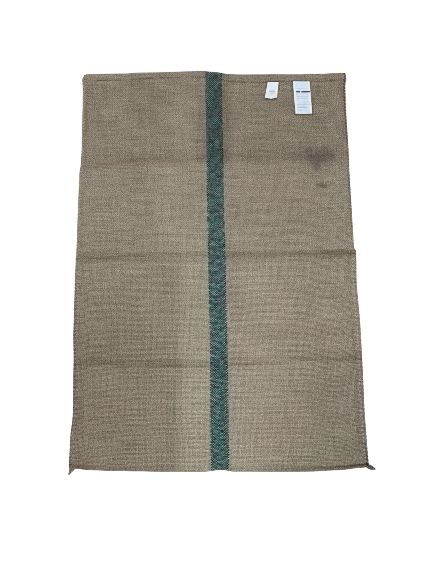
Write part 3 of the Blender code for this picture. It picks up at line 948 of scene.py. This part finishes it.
class SackSeams(PropertyGroup):
    pitch: size_setting("Side stitches", "From one overhead stitch to the next", 9.0 * MM)
    twine: size_setting("Side twine", "Diameter of the side seams' twine", 1.2 * MM)
    hem_pitch: size_setting("Hem stitches", "From one running stitch to the next", 10.0 * MM)
    hem_stitch: size_setting("Hem stitch", "Length of a running stitch", 7.0 * MM)
    hem_twine: size_setting("Hem twine", "Diameter of the hem's twine", 0.9 * MM)
    pale: colour_setting("Pale ply", "The undyed ply of the side twine", "#a89e8b")
    dark: colour_setting("Dark ply", "The dyed ply of the side twine", "#67685d")
    hem_colour: colour_setting("Hem colour", "The hem's undyed twine", "#8c8271")


class SackLabels(PropertyGroup):
    thickness: size_setting("Ribbon thickness", "Thickness of the ribbon", 0.35 * MM)
    ribbon: colour_setting("Ribbon", "Bleached ribbon", "#c8d7e6")
    ribbon_shade: colour_setting("Ribbon, shaded", "Where it has greyed a little", "#bdccdc")
    selvedge: colour_setting("Selvedge", "The ribbon's clean margins", "#dcdde0")
    ink: colour_setting("Ink", "The plain ruled lines", "#1e242b")


class SackTwineEnds(PropertyGroup):
    strands: IntProperty(
        name="Strands", description="Strands twisted into each end", default=7, min=3, max=16
    )
    strand: size_setting("Strand", "Diameter of one strand", 1.9 * MM)
    dark: colour_setting("Dyed strand", "The right end, of dark dyed jute", "#3b4142")
    fleck: colour_setting("Pale strand", "A paler strand in the right end", "#767e7c")
    plain: colour_setting("Undyed strand", "The left end, of undyed jute", "#8b8d80")
    soiled: colour_setting("Soiled strand", "A soiled strand in the left end", "#45473b")
    fibre: colour_setting("Loose fibre", "Fine fibres that stand off the yarn", "#b3a88f")


class SackStage(PropertyGroup):
    floor: colour_setting("Floor", "Pale painted board", "#f7f7f7")
    daylight: FloatProperty(
        name="Daylight", description="Even white light from all round", default=0.75, min=0.0
    )
    key: FloatProperty(
        name="Key light", description="Power of the large soft lamp", default=110.0,
        unit="POWER", min=0.0,
    )
    lens: FloatProperty(
        name="Lens", description="The camera's focal length in millimetres", default=27.0
    )


# ---------------------------------------------------------------------------------------------
# The pieces.

SIDE_STITCHES = "side_stitches"
HEM_STITCHES = "hem_stitches"
FIBRES = "loose_fibres"

FRONT_FIBRES = 520
SIDE_FIBRES = 300
LABEL_PLACES = (21, 61)       # across and along a label
TAIL_PLACES = 29              # along a twine end
TAIL_TURNS = 1.1              # of a strand round it

FLOOR_HEIGHT = -0.4 * MM      # the back's stitches stand out below the cloth
FLOOR_RADIUS = 12.0
LAMP_SIZE = 3.0
KEY_PLACE = (0.3, -1.5, 4.1)  # the lamp's
CAMERA_PLACE = (-0.0094, -0.2153, 1.0632)
CAMERA_TURN = (0.1361, 0.0005, -0.0116)    # in radians about X, Y and Z

# One overhead stitch from the front round the side to the back, in millimetres: in from the
# side, along it towards the mouth, the level as a share of the front's height, and how far
# above that level its middle lies.
OVERHEAD = (
    (8.4, 2.6, 1.0, -0.5), (7.0, 2.1, 1.0, 0.5), (4.6, 1.1, 1.0, 0.65), (2.0, 0.0, 1.0, 0.55),
    (-0.3, -0.7, 0.85, 0.25), (-1.1, -1.0, 0.5, 0.0), (-0.4, -1.2, 0.12, 0.0),
    (2.2, -1.4, 0.0, 0.4), (5.5, -0.6, 0.0, 0.4), (8.4, 0.8, 0.0, 1.3),
)

# A running stitch of the hem: along as a share of its length, and above the cloth in mm.
RUNNING = ((-0.5, -0.5), (-0.38, 0.2), (-0.12, 0.36), (0.12, 0.36), (0.38, 0.2), (0.5, -0.5))
HEM_SEAM = 3.6 * MM           # the stitches' distance from the hem's folded edge
HEM_SEAM_BREAK = 26 * MM      # and from the stripe's middle, whose dyed yarns hide them

# Plain ruled lines on the ribbons, as shares of their length and width.
SMALL_RULES = table(
    "at half ink from to",
    (0.3, 0.015, 0.13, 0.15, 0.9), (0.5, 0.03, 0.26, 0.25, 0.7), (0.6, 0.035, 0.42, 0.3, 0.8),
    (0.7, 0.03, 0.28, 0.35, 0.75), (0.82, 0.016, 0.13, 0.2, 0.8),
)
LARGE_RULES = table(
    "at half ink from to",
    (0.22, 0.014, 0.14, 0.15, 0.86), (0.316, 0.024, 0.98, 0.15, 0.38),
    (0.316, 0.024, 0.98, 0.46, 0.98), (0.39, 0.014, 0.14, 0.15, 0.86),
    (0.46, 0.016, 0.2, 0.15, 0.86), (0.53, 0.016, 0.2, 0.15, 0.8), (0.64, 0.014, 0.18, 0.35, 0.9),
    (0.71, 0.014, 0.24, 0.15, 0.96), (0.8, 0.018, 0.36, 0.15, 0.8),
    (0.885, 0.014, 0.22, 0.15, 0.7),
)


class Grids:
    """Collects grids of vertices with their UV place, wear and painted shade, and numbers them."""

    def __init__(self):
        self.rows = []
        self.count = 0

    def add(self, *columns):
        """x, y, z, u, v and the five kinds of wear and painted shade of a grid. Returns its vertex
        numbers.
        """
        grid = np.stack(np.broadcast_arrays(*columns), axis=-1)
        ids = self.count + np.arange(grid[..., 0].size).reshape(grid.shape[:-1])
        self.rows.append(grid.reshape(-1, grid.shape[-1]))
        self.count += ids.size
        return ids


def thread_place(across, down, along):
    """Metres across the cloth from the stripe's middle, and along it from the mouth.

    The warp yarns follow the stripe in the middle and the sack's sides at the sides.
    """
    sides = read(SIDES, "left", along) + read(SIDES, "right", along)
    off = sides / 2 - read(STRIPE_DRIFT, "centre", along)
    u = across * HALF_WIDTH + off * (1.0 - np.abs(across))
    return u, np.broadcast_to(-down, u.shape)


def between(at, ends, fades):
    """1 between two ends in millimetres and 0 outside, with an even S over each end's fade."""
    low = smooth((at / MM - ends[0]) / fades[0] + 0.5)
    return low * smooth((ends[1] - at / MM) / fades[1] + 0.5)


def crease_shade_and_soil(x, y):
    """How much darker the cloth is painted along the creases, as shade and some soil: a bell curve
    across each.
    """
    total = np.zeros(x.shape)
    for crease in CREASES:
        away = y - read(crease["course"], "at", x)
        reach = np.where(away > 0.0, crease["soil_up"], crease["soil_down"]) * MM
        total += percent(crease["course"], "dark", x) * bell(away, reach)
    in_stripe = between(x, (-23, 22), (4, 4))
    return total * (1.0 - STRIPE_HIDES * in_stripe)


def patches(rows, x, y):
    """The sum of a table's patches at each place."""
    total = np.zeros(x.shape)
    for left, right, fade_left, fade_right, low, high, fade_low, fade_high, amount in rows:
        beside = between(x, (left, right), (fade_left, fade_right))
        total += amount * beside * between(y, (low, high), (fade_low, fade_high))
    return total


def painted_label_shadow(x, y):
    """1 along the labels' outlines, where a painted shadow darkens and greys the cloth, and fading
    outwards.
    """
    total = np.zeros(x.shape)
    for label in LABELS:
        top, bottom = (np.array(label[end]) * MM for end in ("top", "bottom"))
        share = np.clip((top[0, 1] - y) / (top[0, 1] - bottom[0, 1]), 0.0, 1.0)
        middle = (1.0 - share) * top[:, 0].mean() + share * bottom[:, 0].mean()
        aside = np.abs(x - middle) - (top[1, 0] - top[0, 0]) / 2
        beyond = np.maximum(y - top[0, 1], bottom[0, 1] - label["point"] - y)
        outside = np.maximum(np.maximum(aside, beyond) - LABEL_SHADOW_WIDTH, 0.0)
        total = np.maximum(total, bell(outside, LABEL_SHADOW_FADE))
    return total


def wear_and_shade(x, y, across, down):
    """The front's wear and painted light and shade: how pale it is, how stained, how grey, how
    rusty and how green.
    """
    tone = 1.0 - crease_shade_and_soil(x, y) + patches(WEAR_AND_SHADE, x, y)
    from_side = (1.0 - np.abs(across)) * HALF_WIDTH
    at_edge = smooth((EDGE_REACH + EDGE_FADE / 2 - from_side) / EDGE_FADE)
    at_line = bell(from_side - LINE_AT, SIDE_LINE)

    def by_side(tables, column, reader=percent):
        """A column of the left and the right side's tables, each on its own half."""
        left, right = (reader(rows, column, y) for rows in tables)
        return np.where(across < 0.0, left, right)

    # The edge band is painted paler where the sides caught light and darker where they lay in
    # shade.
    tone += at_edge * by_side(EDGES, "edge")
    tone += at_line * by_side(EDGES, "line")
    # The pale dots lie a fifth of the pitch beside the stitches, and outweigh the dark dots of
    # painted shade.
    dots_away = from_side - by_side(STITCH_DOTS, "in", read)
    dots = 0.35 + np.cos(2 * np.pi * (down / bpy.context.scene.sack_seams.pitch + 0.2))
    tone += bell(dots_away, DOT_REACH) * dots * by_side(STITCH_DOTS, "dots")
    grey = at_edge * by_side(EDGES, "grey") + patches(GREYED, x, y)

    # A painted shadow lies just past the hem's edge, and comes and goes a little along it.
    dashes = 1.0 + 0.25 * np.sin(x / (3.9 * MM)) * np.sin(x / (11 * MM) + 1.0)
    from_hem = down - read(HEM_EDGE, "deep", x) - 0.6 * MM
    tone -= dashes * bell(from_hem, HEM_SHADOW) * percent(HEM_EDGE, "dark", x)
    # The last 3 mm at the mouth are darker, a painted shade on its rounded lip, and the last 4 mm
    # at the fold are greyer.
    tone -= 0.12 * smooth((3 * MM - down) / (2 * MM))
    from_fold = LENGTH - down
    grey += 0.4 * smooth((4 * MM - from_fold) / (2 * MM)) * (1.0 - at_edge)
    # A painted shadow lies in the dent beside the fold.
    from_line = from_fold - read(FOLD_SHADOW, "from", x)
    tone -= bell(from_line, FOLD_SHADOW_REACH) * percent(FOLD_SHADOW, "dark", x)
    # A painted shadow darkens and greys the cloth round each label.
    label_shadow = painted_label_shadow(x, y)
    tone -= LABEL_SHADOW_TONE * label_shadow
    grey += LABEL_SHADOW_GREY * label_shadow

    stained = np.zeros(x.shape)
    for stain in STAINS:
        away_x = (x / MM - stain["x"]) / stain["wide"]
        away_y = (y / MM - stain["y"]) / stain["high"]
        spread = stain["strength"] * smooth(1.5 - np.hypot(away_x, away_y))
        stained = np.maximum(stained, spread)
    return tone, stained, grey, patches(RUST, x, y), patches(GREENER, x, y)


def cloth_surfaces():
    """The sack as one closed skin: both layers, inside and out, on one grid of places.

    The front and the back run from the mouth to the fold. The mouth's lips and the sides are
    rounded with a sine over the thickness, the fold is half a turn, and the inside is joined
    to them all the way round except at the mouth.
    """
    down = stretch_places(ROW_STRETCHES)[:, None]
    across = stretch_places(COLUMN_STRETCHES)[None, :] / HALF_WIDTH - 1.0
    x, y = plan(across, down)
    level, under, top = heights(x, y, down)
    level = np.broadcast_to(level, x.shape)
    u, v = thread_place(across, down, y)
    worn_and_shaded = wear_and_shade(x, y, across, down)
    clean = np.zeros(x.shape)
    behind = (BACK_TONE - crease_shade_and_soil(x, y), clean, worn_and_shaded[2], clean, clean)
    inside = (np.full(x.shape, INSIDE_TONE), clean, clean, clean, clean)

    grids = Grids()
    front = grids.add(x, y, top, u, v, *worn_and_shaded)
    ceiling = grids.add(x, y, under, u, v, *inside)
    floor = grids.add(x, y, level, u, v, *inside)
    back = grids.add(x, y, np.zeros(x.shape), u, v, *behind)

    t = np.arange(1, LIP_STEPS)[:, None] / LIP_STEPS
    out = y[0] + HEM_ROUND * np.sin(np.pi * t)
    round_lip = np.minimum(t, 1.0 - t) * (top[0] - under[0])
    lip_wear_and_shade = [part[0] for part in worn_and_shaded]
    front_lip = grids.add(x[0], out, top[0] + t * (under[0] - top[0]), u[0], round_lip, *lip_wear_and_shade)
    back_lip = grids.add(x[0], out, (1.0 - t) * level[0], u[0], round_lip, *lip_wear_and_shade)

    turn = np.pi * np.arange(1, FOLD_TURNS)[:, None] / FOLD_TURNS
    radius = fold_radius(x[-1])
    out = y[-1] - radius * np.sin(turn)
    high = top[-1] / 2 * (1.0 + np.cos(turn))
    round_fold = v[-1] - np.minimum(turn, np.pi - turn) * radius
    fold_wear_and_shade = [part[-1] for part in worn_and_shaded]
    folded = grids.add(x[-1], out, high, u[-1], round_fold, *fold_wear_and_shade)

    t = np.arange(1, SIDE_STEPS)[None, :] / SIDE_STEPS
    bulge = SEAM_BULGE * np.sqrt(np.abs(np.sin(2 * np.pi * t)))
    sides = []
    for edge, sign in ((np.s_[:, :1], -1.0), (np.s_[:, -1:], 1.0)):
        out = x[edge] + sign * bulge
        high = top[edge] * (1.0 - t)
        round_side = u[edge] + sign * np.minimum(t, 1.0 - t) * top[edge]
        side_wear_and_shade = [part[edge] for part in worn_and_shaded]
        middle = grids.add(out, y[edge], high, round_side, v[edge], *side_wear_and_shade)
        sides.append(np.concatenate((front[edge], middle, back[edge]), axis=1))

    seam = SEAM_COLUMNS
    loose = np.s_[:, seam:-seam]
    front_rim = np.concatenate((front[:1], front_lip, ceiling[:1]))
    back_rim = np.concatenate((floor[:1], back_lip, back[:1]))
    strips = [front, front_rim, back_rim, np.concatenate((front[-1:], folded, back[-1:]))]
    for part in (np.s_[0, : seam + 1], np.s_[0, -seam - 1 :], np.s_[-1, seam:-seam]):
        strips.append(np.stack((ceiling[part], floor[part])))
    strips += [*sides, *(np.stack((ceiling[:, k], floor[:, k])) for k in (seam, -seam - 1))]
    faces = [whole(quads(strip)) for strip in strips]
    faces.append(thinned(ceiling[loose], CEILING_THIN))
    faces.append(thinned(floor[loose], LEVEL_THIN))
    faces.append(thinned(back, LEVEL_THIN))
    for column, side in zip((0, -1), sides):
        rim = np.concatenate((front_rim[1:, column], back_rim[:-1, column]))
        faces.append(whole(np.concatenate((side[0], rim[::-1]))[None]))
        faces.append(whole(np.concatenate((side[-1], folded[::-1, column]))[None]))
    rows = np.concatenate(grids.rows)
    return rows[:, :3], faces, rows[:, 3:5], rows[:, 5:]


def add_overhead_stitches(seams):
    """Both sides' stitches: one short route each, carried along the side at even steps."""
    random = np.random.default_rng(11)
    count = int(LENGTH / seams.pitch) - 1
    down = seams.pitch * np.arange(1, count + 1)
    route = np.array(OVERHEAD)
    routes = []
    for side in (-1.0, 1.0):
        x, y = plan(np.full(count, side), down)
        sway = random.uniform(-0.5, 0.5, (count, 1)) * MM
        reach = random.uniform(0.85, 1.1, (count, 1))
        place_x = x[:, None] - side * route[:, 0] * reach * MM
        place_y = y[:, None] + route[:, 1] * MM + sway
        on_front = front_top(place_x, place_y)
        place_z = route[:, 2] * on_front + route[:, 3] * MM
        routes.append(np.stack((place_x, place_y, place_z), axis=-1))
    routes = np.concatenate(routes)
    thick = random.uniform(0.9, 1.1, (len(routes), 1)) * seams.twine / 2
    points, faces, uv = tubes(routes, thick, 6, (0, 1, 0))
    # Marled twine: one undyed and one dyed ply make a full turn in 7 mm.
    twine = plied_jute("marled_jute_twine", seams.pale, seams.dark, 0.62, 7 * MM, 2)
    return new_piece(SIDE_STITCHES, points, faces, uv, twine)


def add_running_stitches(seams):
    """Both hems' stitches: a shallow arch over the cloth, carried along the hem."""
    random = np.random.default_rng(5)
    count = int(2 * (HALF_WIDTH - SEAM_DEPTH) / seams.hem_pitch)
    middle = (np.arange(count) - (count - 1) / 2) * seams.hem_pitch
    middle = middle[np.abs(middle) > HEM_SEAM_BREAK]
    count = len(middle)
    route = np.array(RUNNING)
    routes = []
    for outside in (True, False):
        length = seams.hem_stitch * random.uniform(0.85, 1.1, (count, 1))
        x = middle[:, None] + route[:, 0] * length
        sway = random.uniform(-0.4, 0.4, (count, 1)) * MM
        tilt = random.uniform(-0.06, 0.06, (count, 1)) * route[:, 0] * length
        deep = read(HEM_EDGE, "deep", x) - HEM_SEAM
        y = read(ENDS, "mouth", x) - deep + sway + tilt
        z = front_top(x, y) + route[:, 1] * MM if outside else 0.1 * MM - route[:, 1] * MM
        routes.append(np.stack(np.broadcast_arrays(x, y, z), axis=-1))
    points, faces, uv = tubes(np.concatenate(routes), seams.hem_twine / 2, 5, (0, 0, 1))
    twine = plied_jute("undyed_jute_twine", seams.hem_colour, seams.hem_colour, 0.5, 5 * MM, 2)
    return new_piece(HEM_STITCHES, points, faces, uv, twine)


def add_fibres(colour):
    """Fine fibres that stand off the yarn: thin arcs that rise and fall like half a sine."""
    random = np.random.default_rng(23)
    t = np.linspace(0.0, 1.0, 5)

    def between_mm(low, high, count):
        return random.uniform(low, high, (count, 1)) * MM

    x = between_mm(-340, 340, FRONT_FIBRES)
    y = between_mm(-494, 488, FRONT_FIBRES)
    heading = random.uniform(0.0, 2 * np.pi, (FRONT_FIBRES, 1))
    length = between_mm(5, 16, FRONT_FIBRES)
    way = heading + random.uniform(-1.6, 1.6, (FRONT_FIBRES, 1)) * t
    place_x = x + length * t * np.cos(way)
    place_y = y + length * t * np.sin(way)
    rise = between_mm(0.5, 2.0, FRONT_FIBRES) * np.sin(np.pi * t)
    routes = [np.stack((place_x, place_y, front_top(x, y) + rise), axis=-1)]

    side = np.where(random.random(SIDE_FIBRES) < 0.5, -1.0, 1.0)
    x, y = plan(side, random.uniform(6, 990, SIDE_FIBRES) * MM)
    reach = between_mm(2, 6, SIDE_FIBRES)
    place_x = x[:, None] + side[:, None] * (reach * t - 0.5 * MM)
    place_y = y[:, None] + between_mm(-5, 5, SIDE_FIBRES) * t**2
    place_z = between_mm(1, 4, SIDE_FIBRES) * (1.0 - 0.6 * t**2)
    routes.append(np.stack((place_x, place_y, place_z), axis=-1))

    routes = np.concatenate(routes)
    thick = between_mm(0.05, 0.09, len(routes)) * (1.0 - 0.7 * t)
    points, faces, uv = tubes(routes, thick, 3, (0.3, 0.2, 1.0))
    # Single bast fibres, split from the yarn: dry, straw-coloured and slightly glossy.
    material = plied_jute("split_jute_fibre", colour, colour, 0.5, 9 * MM, 1)
    return new_piece(FIBRES, points, faces, uv, material)


def add_label(label, labels, rules):
    """A ribbon on the front: straight lines between its two ends, its lower edge a shallow V,
    and its free end lifting."""
    share, length = np.meshgrid(*(np.linspace(0.0, 1.0, count) for count in LABEL_PLACES))
    top, bottom = (np.array(label[end]) * MM for end in ("top", "bottom"))
    above = top[0] + share[..., None] * (top[1] - top[0])
    below = bottom[0] + share[..., None] * (bottom[1] - bottom[0])
    x, y = np.moveaxis(above + length[..., None] * (below - above), -1, 0)
    y -= label["point"] * length**6 * (1.0 - np.abs(2.0 * share - 1.0))
    down = read(ENDS, "mouth", x) - y
    # It lies over the hem's edge in a slope. Its free half lifts, its margins curl up by
    # 0.5 mm, and it ripples.
    step = CLOTH * smooth((HEM_DEPTH + 7 * MM - down) / (8 * MM))
    lift = label["curl"] * smooth((length - 0.5) / 0.5)
    edges = 0.5 * MM * np.abs(2.0 * share - 1.0) ** 3 * smooth(length / 0.15)
    ripple = 0.18 * MM * np.sin(2 * np.pi * (1.4 * length + 0.4 * share))
    under = heights(x, y, down)[2] - hem(x, down) + step + 0.4 * MM + lift + edges + ripple
    name = label["name"]
    material = satin_ribbon(name + "_satin_ribbon", labels, rules, label["clean"])
    uv = np.stack((share, length), axis=-1)
    return thin_sheet(name, x, y, under, labels.thickness, uv, material)


def tail_shape(tail, t):
    """A twine end's middle line, sideways direction, and half its width and height."""
    root, tip = (np.array(tail[end]) * MM for end in ("root", "tip"))
    forward = (tip - root) / np.linalg.norm(tip - root)
    places = np.linspace(0.0, 1.0, len(TAIL_HEIGHTS))
    wide = np.interp(t, places, tail["widths"])
    tall = np.interp(t, places, TAIL_HEIGHTS)
    centre = root + t[..., None] * (tip - root)
    sideways = np.array((-forward[1], forward[0]))
    return centre, sideways, wide * tail["width"] / 2, tall * tail["height"] / 2


def add_twine_end(tail, ends, material, seed):
    """Strands wound side by side round a thick one: each is a helix whose width and height
    follow the end's own sections."""
    random = np.random.default_rng(seed)
    outer = ends.strands
    t = np.broadcast_to(np.linspace(0.0, 1.0, TAIL_PLACES), (outer + 1, TAIL_PLACES))
    start = np.arange(outer + 1)[:, None] / outer
    turn = 2 * np.pi * (start + TAIL_TURNS * t + random.uniform(-0.04, 0.04, (outer + 1, 1)))
    centre, sideways, wide, tall = tail_shape(tail, t)
    thick = ends.strand / 2 * np.interp(t, (0.0, 0.4, 0.8, 1.0), (0.8, 1.0, 0.7, 0.25))
    thick[outer] = 0.8 * tall[outer]
    wound = (np.arange(outer + 1) < outer)[:, None]
    out = wound * np.maximum(wide - thick, 0.2 * MM) * np.cos(turn)
    up = wound * np.maximum(tall - thick, 0.1 * MM) * np.sin(turn)
    place = centre + out[..., None] * sideways
    routes = np.concatenate((place, (tall + up)[..., None]), axis=-1)
    points, faces, uv = tubes(routes, thick, 8, (0.1, 0.2, 1.0))
    return new_piece(tail["name"], points, faces, uv, material)


def add_floor(stage):
    """A wide round board whose top lies just under the sack."""
    floor = bmesh.new()
    bmesh.ops.create_circle(floor, cap_ends=True, segments=96, radius=FLOOR_RADIUS)
    bmesh.ops.translate(floor, verts=floor.verts, vec=(0.0, 0.0, FLOOR_HEIGHT))
    mesh = bpy.data.meshes.new("studio_floor")
    floor.to_mesh(mesh)
    floor.free()
    mesh.materials.append(matt_board(stage))
    return new_object("studio_floor", mesh)


# ---------------------------------------------------------------------------------------------
# One operator for each piece, or group of like pieces.


class SewSides(Operator):
    """Sew both sides together with overhead stitches of marled twine"""

    bl_idname = "jute_sack.sew_sides"
    bl_label = "Sew the Sides"

    def execute(self, context):
        stitches = add_overhead_stitches(context.scene.sack_seams)
        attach(stitches, BODY)
        return {"FINISHED"}


class SewHem(Operator):
    """Sew the turned hem of both layers with running stitches"""

    bl_idname = "jute_sack.sew_hem"
    bl_label = "Sew the Hem"

    def execute(self, context):
        stitches = add_running_stitches(context.scene.sack_seams)
        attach(stitches, BODY)
        return {"FINISHED"}


class TeaseFibres(Operator):
    """Let fine fibres stand off the cloth and its sides"""

    bl_idname = "jute_sack.tease_fibres"
    bl_label = "Tease out Fibres"

    def execute(self, context):
        fibres = add_fibres(context.scene.sack_ends.fibre)
        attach(fibres, BODY)
        return {"FINISHED"}


class WeaveCloth(Operator):
    """Weave the sack's cloth, with its stripe, hems, ridge, creases and stains"""

    bl_idname = "jute_sack.weave_cloth"
    bl_label = "Weave the Cloth"

    def execute(self, context):
        points, faces, uv, worn_and_shaded = cloth_surfaces()
        sacking = jute_sacking(context.scene.sack_cloth)
        cloth = new_piece("jute_sacking_cloth", points, faces, uv, sacking, worn_and_shaded)
        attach(cloth, BODY)
        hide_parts("sack_cloth")
        return {"FINISHED"}


class SewLabels(Operator):
    """Sew the two plain ruled ribbons into the hem"""

    bl_idname = "jute_sack.sew_labels"
    bl_label = "Sew in the Labels"

    def execute(self, context):
        for label, rules in zip(LABELS, (SMALL_RULES, LARGE_RULES)):
            ribbon = add_label(label, context.scene.sack_labels, rules)
            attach(ribbon, BODY)
            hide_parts(label["node"])
        return {"FINISHED"}


class KnotEnds(Operator):
    """Twist the twine ends at the two bottom corners"""

    bl_idname = "jute_sack.knot_ends"
    bl_label = "Twist the Twine Ends"

    def execute(self, context):
        ends = context.scene.sack_ends
        undyed = plied_jute("undyed_jute_strands", ends.plain, ends.soiled, 0.55, 6 * MM, 2)
        dyed = plied_jute("dyed_jute_strands", ends.fleck, ends.dark, 0.25, 6 * MM, 2)
        for seed, (tail, twine) in enumerate(zip(TAILS, (undyed, dyed))):
            end = add_twine_end(tail, ends, twine, seed)
            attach(end, BODY)
            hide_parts(tail["node"])
        return {"FINISHED"}


class SetStage(Operator):
    """Set the pale floor, the soft light and the camera"""

    bl_idname = "jute_sack.set_stage"
    bl_label = "Set the Stage"

    def execute(self, context):
        scene = context.scene
        stage = scene.sack_stage
        add_floor(stage)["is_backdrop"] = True

        world = bpy.data.worlds.new("even_daylight")
        world.use_nodes = True
        background = world.node_tree.nodes["Background"]
        background.inputs["Color"].default_value = (1.0, 1.0, 1.0, 1.0)
        background.inputs["Strength"].default_value = stage.daylight
        scene.world = world

        lamp = bpy.data.lights.new("large_soft_lamp", "AREA")
        lamp.energy = stage.key
        lamp.size = LAMP_SIZE
        key = new_object("large_soft_lamp", lamp)
        key.location = KEY_PLACE
        key.rotation_euler = (-Vector(KEY_PLACE)).to_track_quat("-Z", "Y").to_euler()

        lens = bpy.data.cameras.new("camera")
        lens.lens = stage.lens
        lens.clip_start = 0.01
        camera = new_object("camera", lens)
        camera.location = CAMERA_PLACE
        camera.rotation_euler = CAMERA_TURN
        scene.camera = camera
        scene.view_settings.view_transform = "Standard"
        # Smoothed guide pictures would wipe the weave away with the noise, and a wide pixel
        # filter would blur its yarns, which are about one pixel wide.
        scene.cycles.denoising_prefilter = "NONE"
        scene.cycles.filter_width = 0.8
        return {"FINISHED"}


OPERATORS = (SewSides, SewHem, TeaseFibres, WeaveCloth, SewLabels, KnotEnds, SetStage)
SETTINGS = {
    "sack_cloth": SackCloth,
    "sack_seams": SackSeams,
    "sack_labels": SackLabels,
    "sack_ends": SackTwineEnds,
    "sack_stage": SackStage,
}


class SackPanel(Panel):
    """Lists the sack's pieces and the settings that they are made from"""

    bl_idname = "VIEW3D_PT_jute_sack"
    bl_label = "Jute Sack"
    bl_space_type = "VIEW_3D"
    bl_region_type = "UI"
    bl_category = "Jute Sack"

    def draw(self, context):
        for operator in OPERATORS:
            self.layout.operator(operator.bl_idname)
        for name in SETTINGS:
            settings = getattr(context.scene, name)
            column = self.layout.box().column()
            for key in settings.bl_rna.properties.keys():
                if key not in ("rna_type", "name"):
                    column.prop(settings, key)


def register():
    for kind in (*SETTINGS.values(), *OPERATORS, SackPanel):
        bpy.utils.register_class(kind)
    for name, kind in SETTINGS.items():
        setattr(bpy.types.Scene, name, PointerProperty(type=kind))


def unregister():
    for name in SETTINGS:
        delattr(bpy.types.Scene, name)
    for kind in (SackPanel, *reversed(OPERATORS), *SETTINGS.values()):
        bpy.utils.unregister_class(kind)


def main():
    register()
    bpy.ops.jute_sack.sew_sides()
    bpy.ops.jute_sack.sew_hem()
    bpy.ops.jute_sack.tease_fibres()
    bpy.ops.jute_sack.weave_cloth()
    bpy.ops.jute_sack.sew_labels()
    bpy.ops.jute_sack.knot_ends()
    bpy.ops.jute_sack.set_stage()
    bpy.context.view_layer.update()
    boxes = {"cad": CAD_BOX, "visual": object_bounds()}
    lists = {name: [list(corner) for corner in box] for name, box in boxes.items()}


if __name__ == "__main__":
    main()
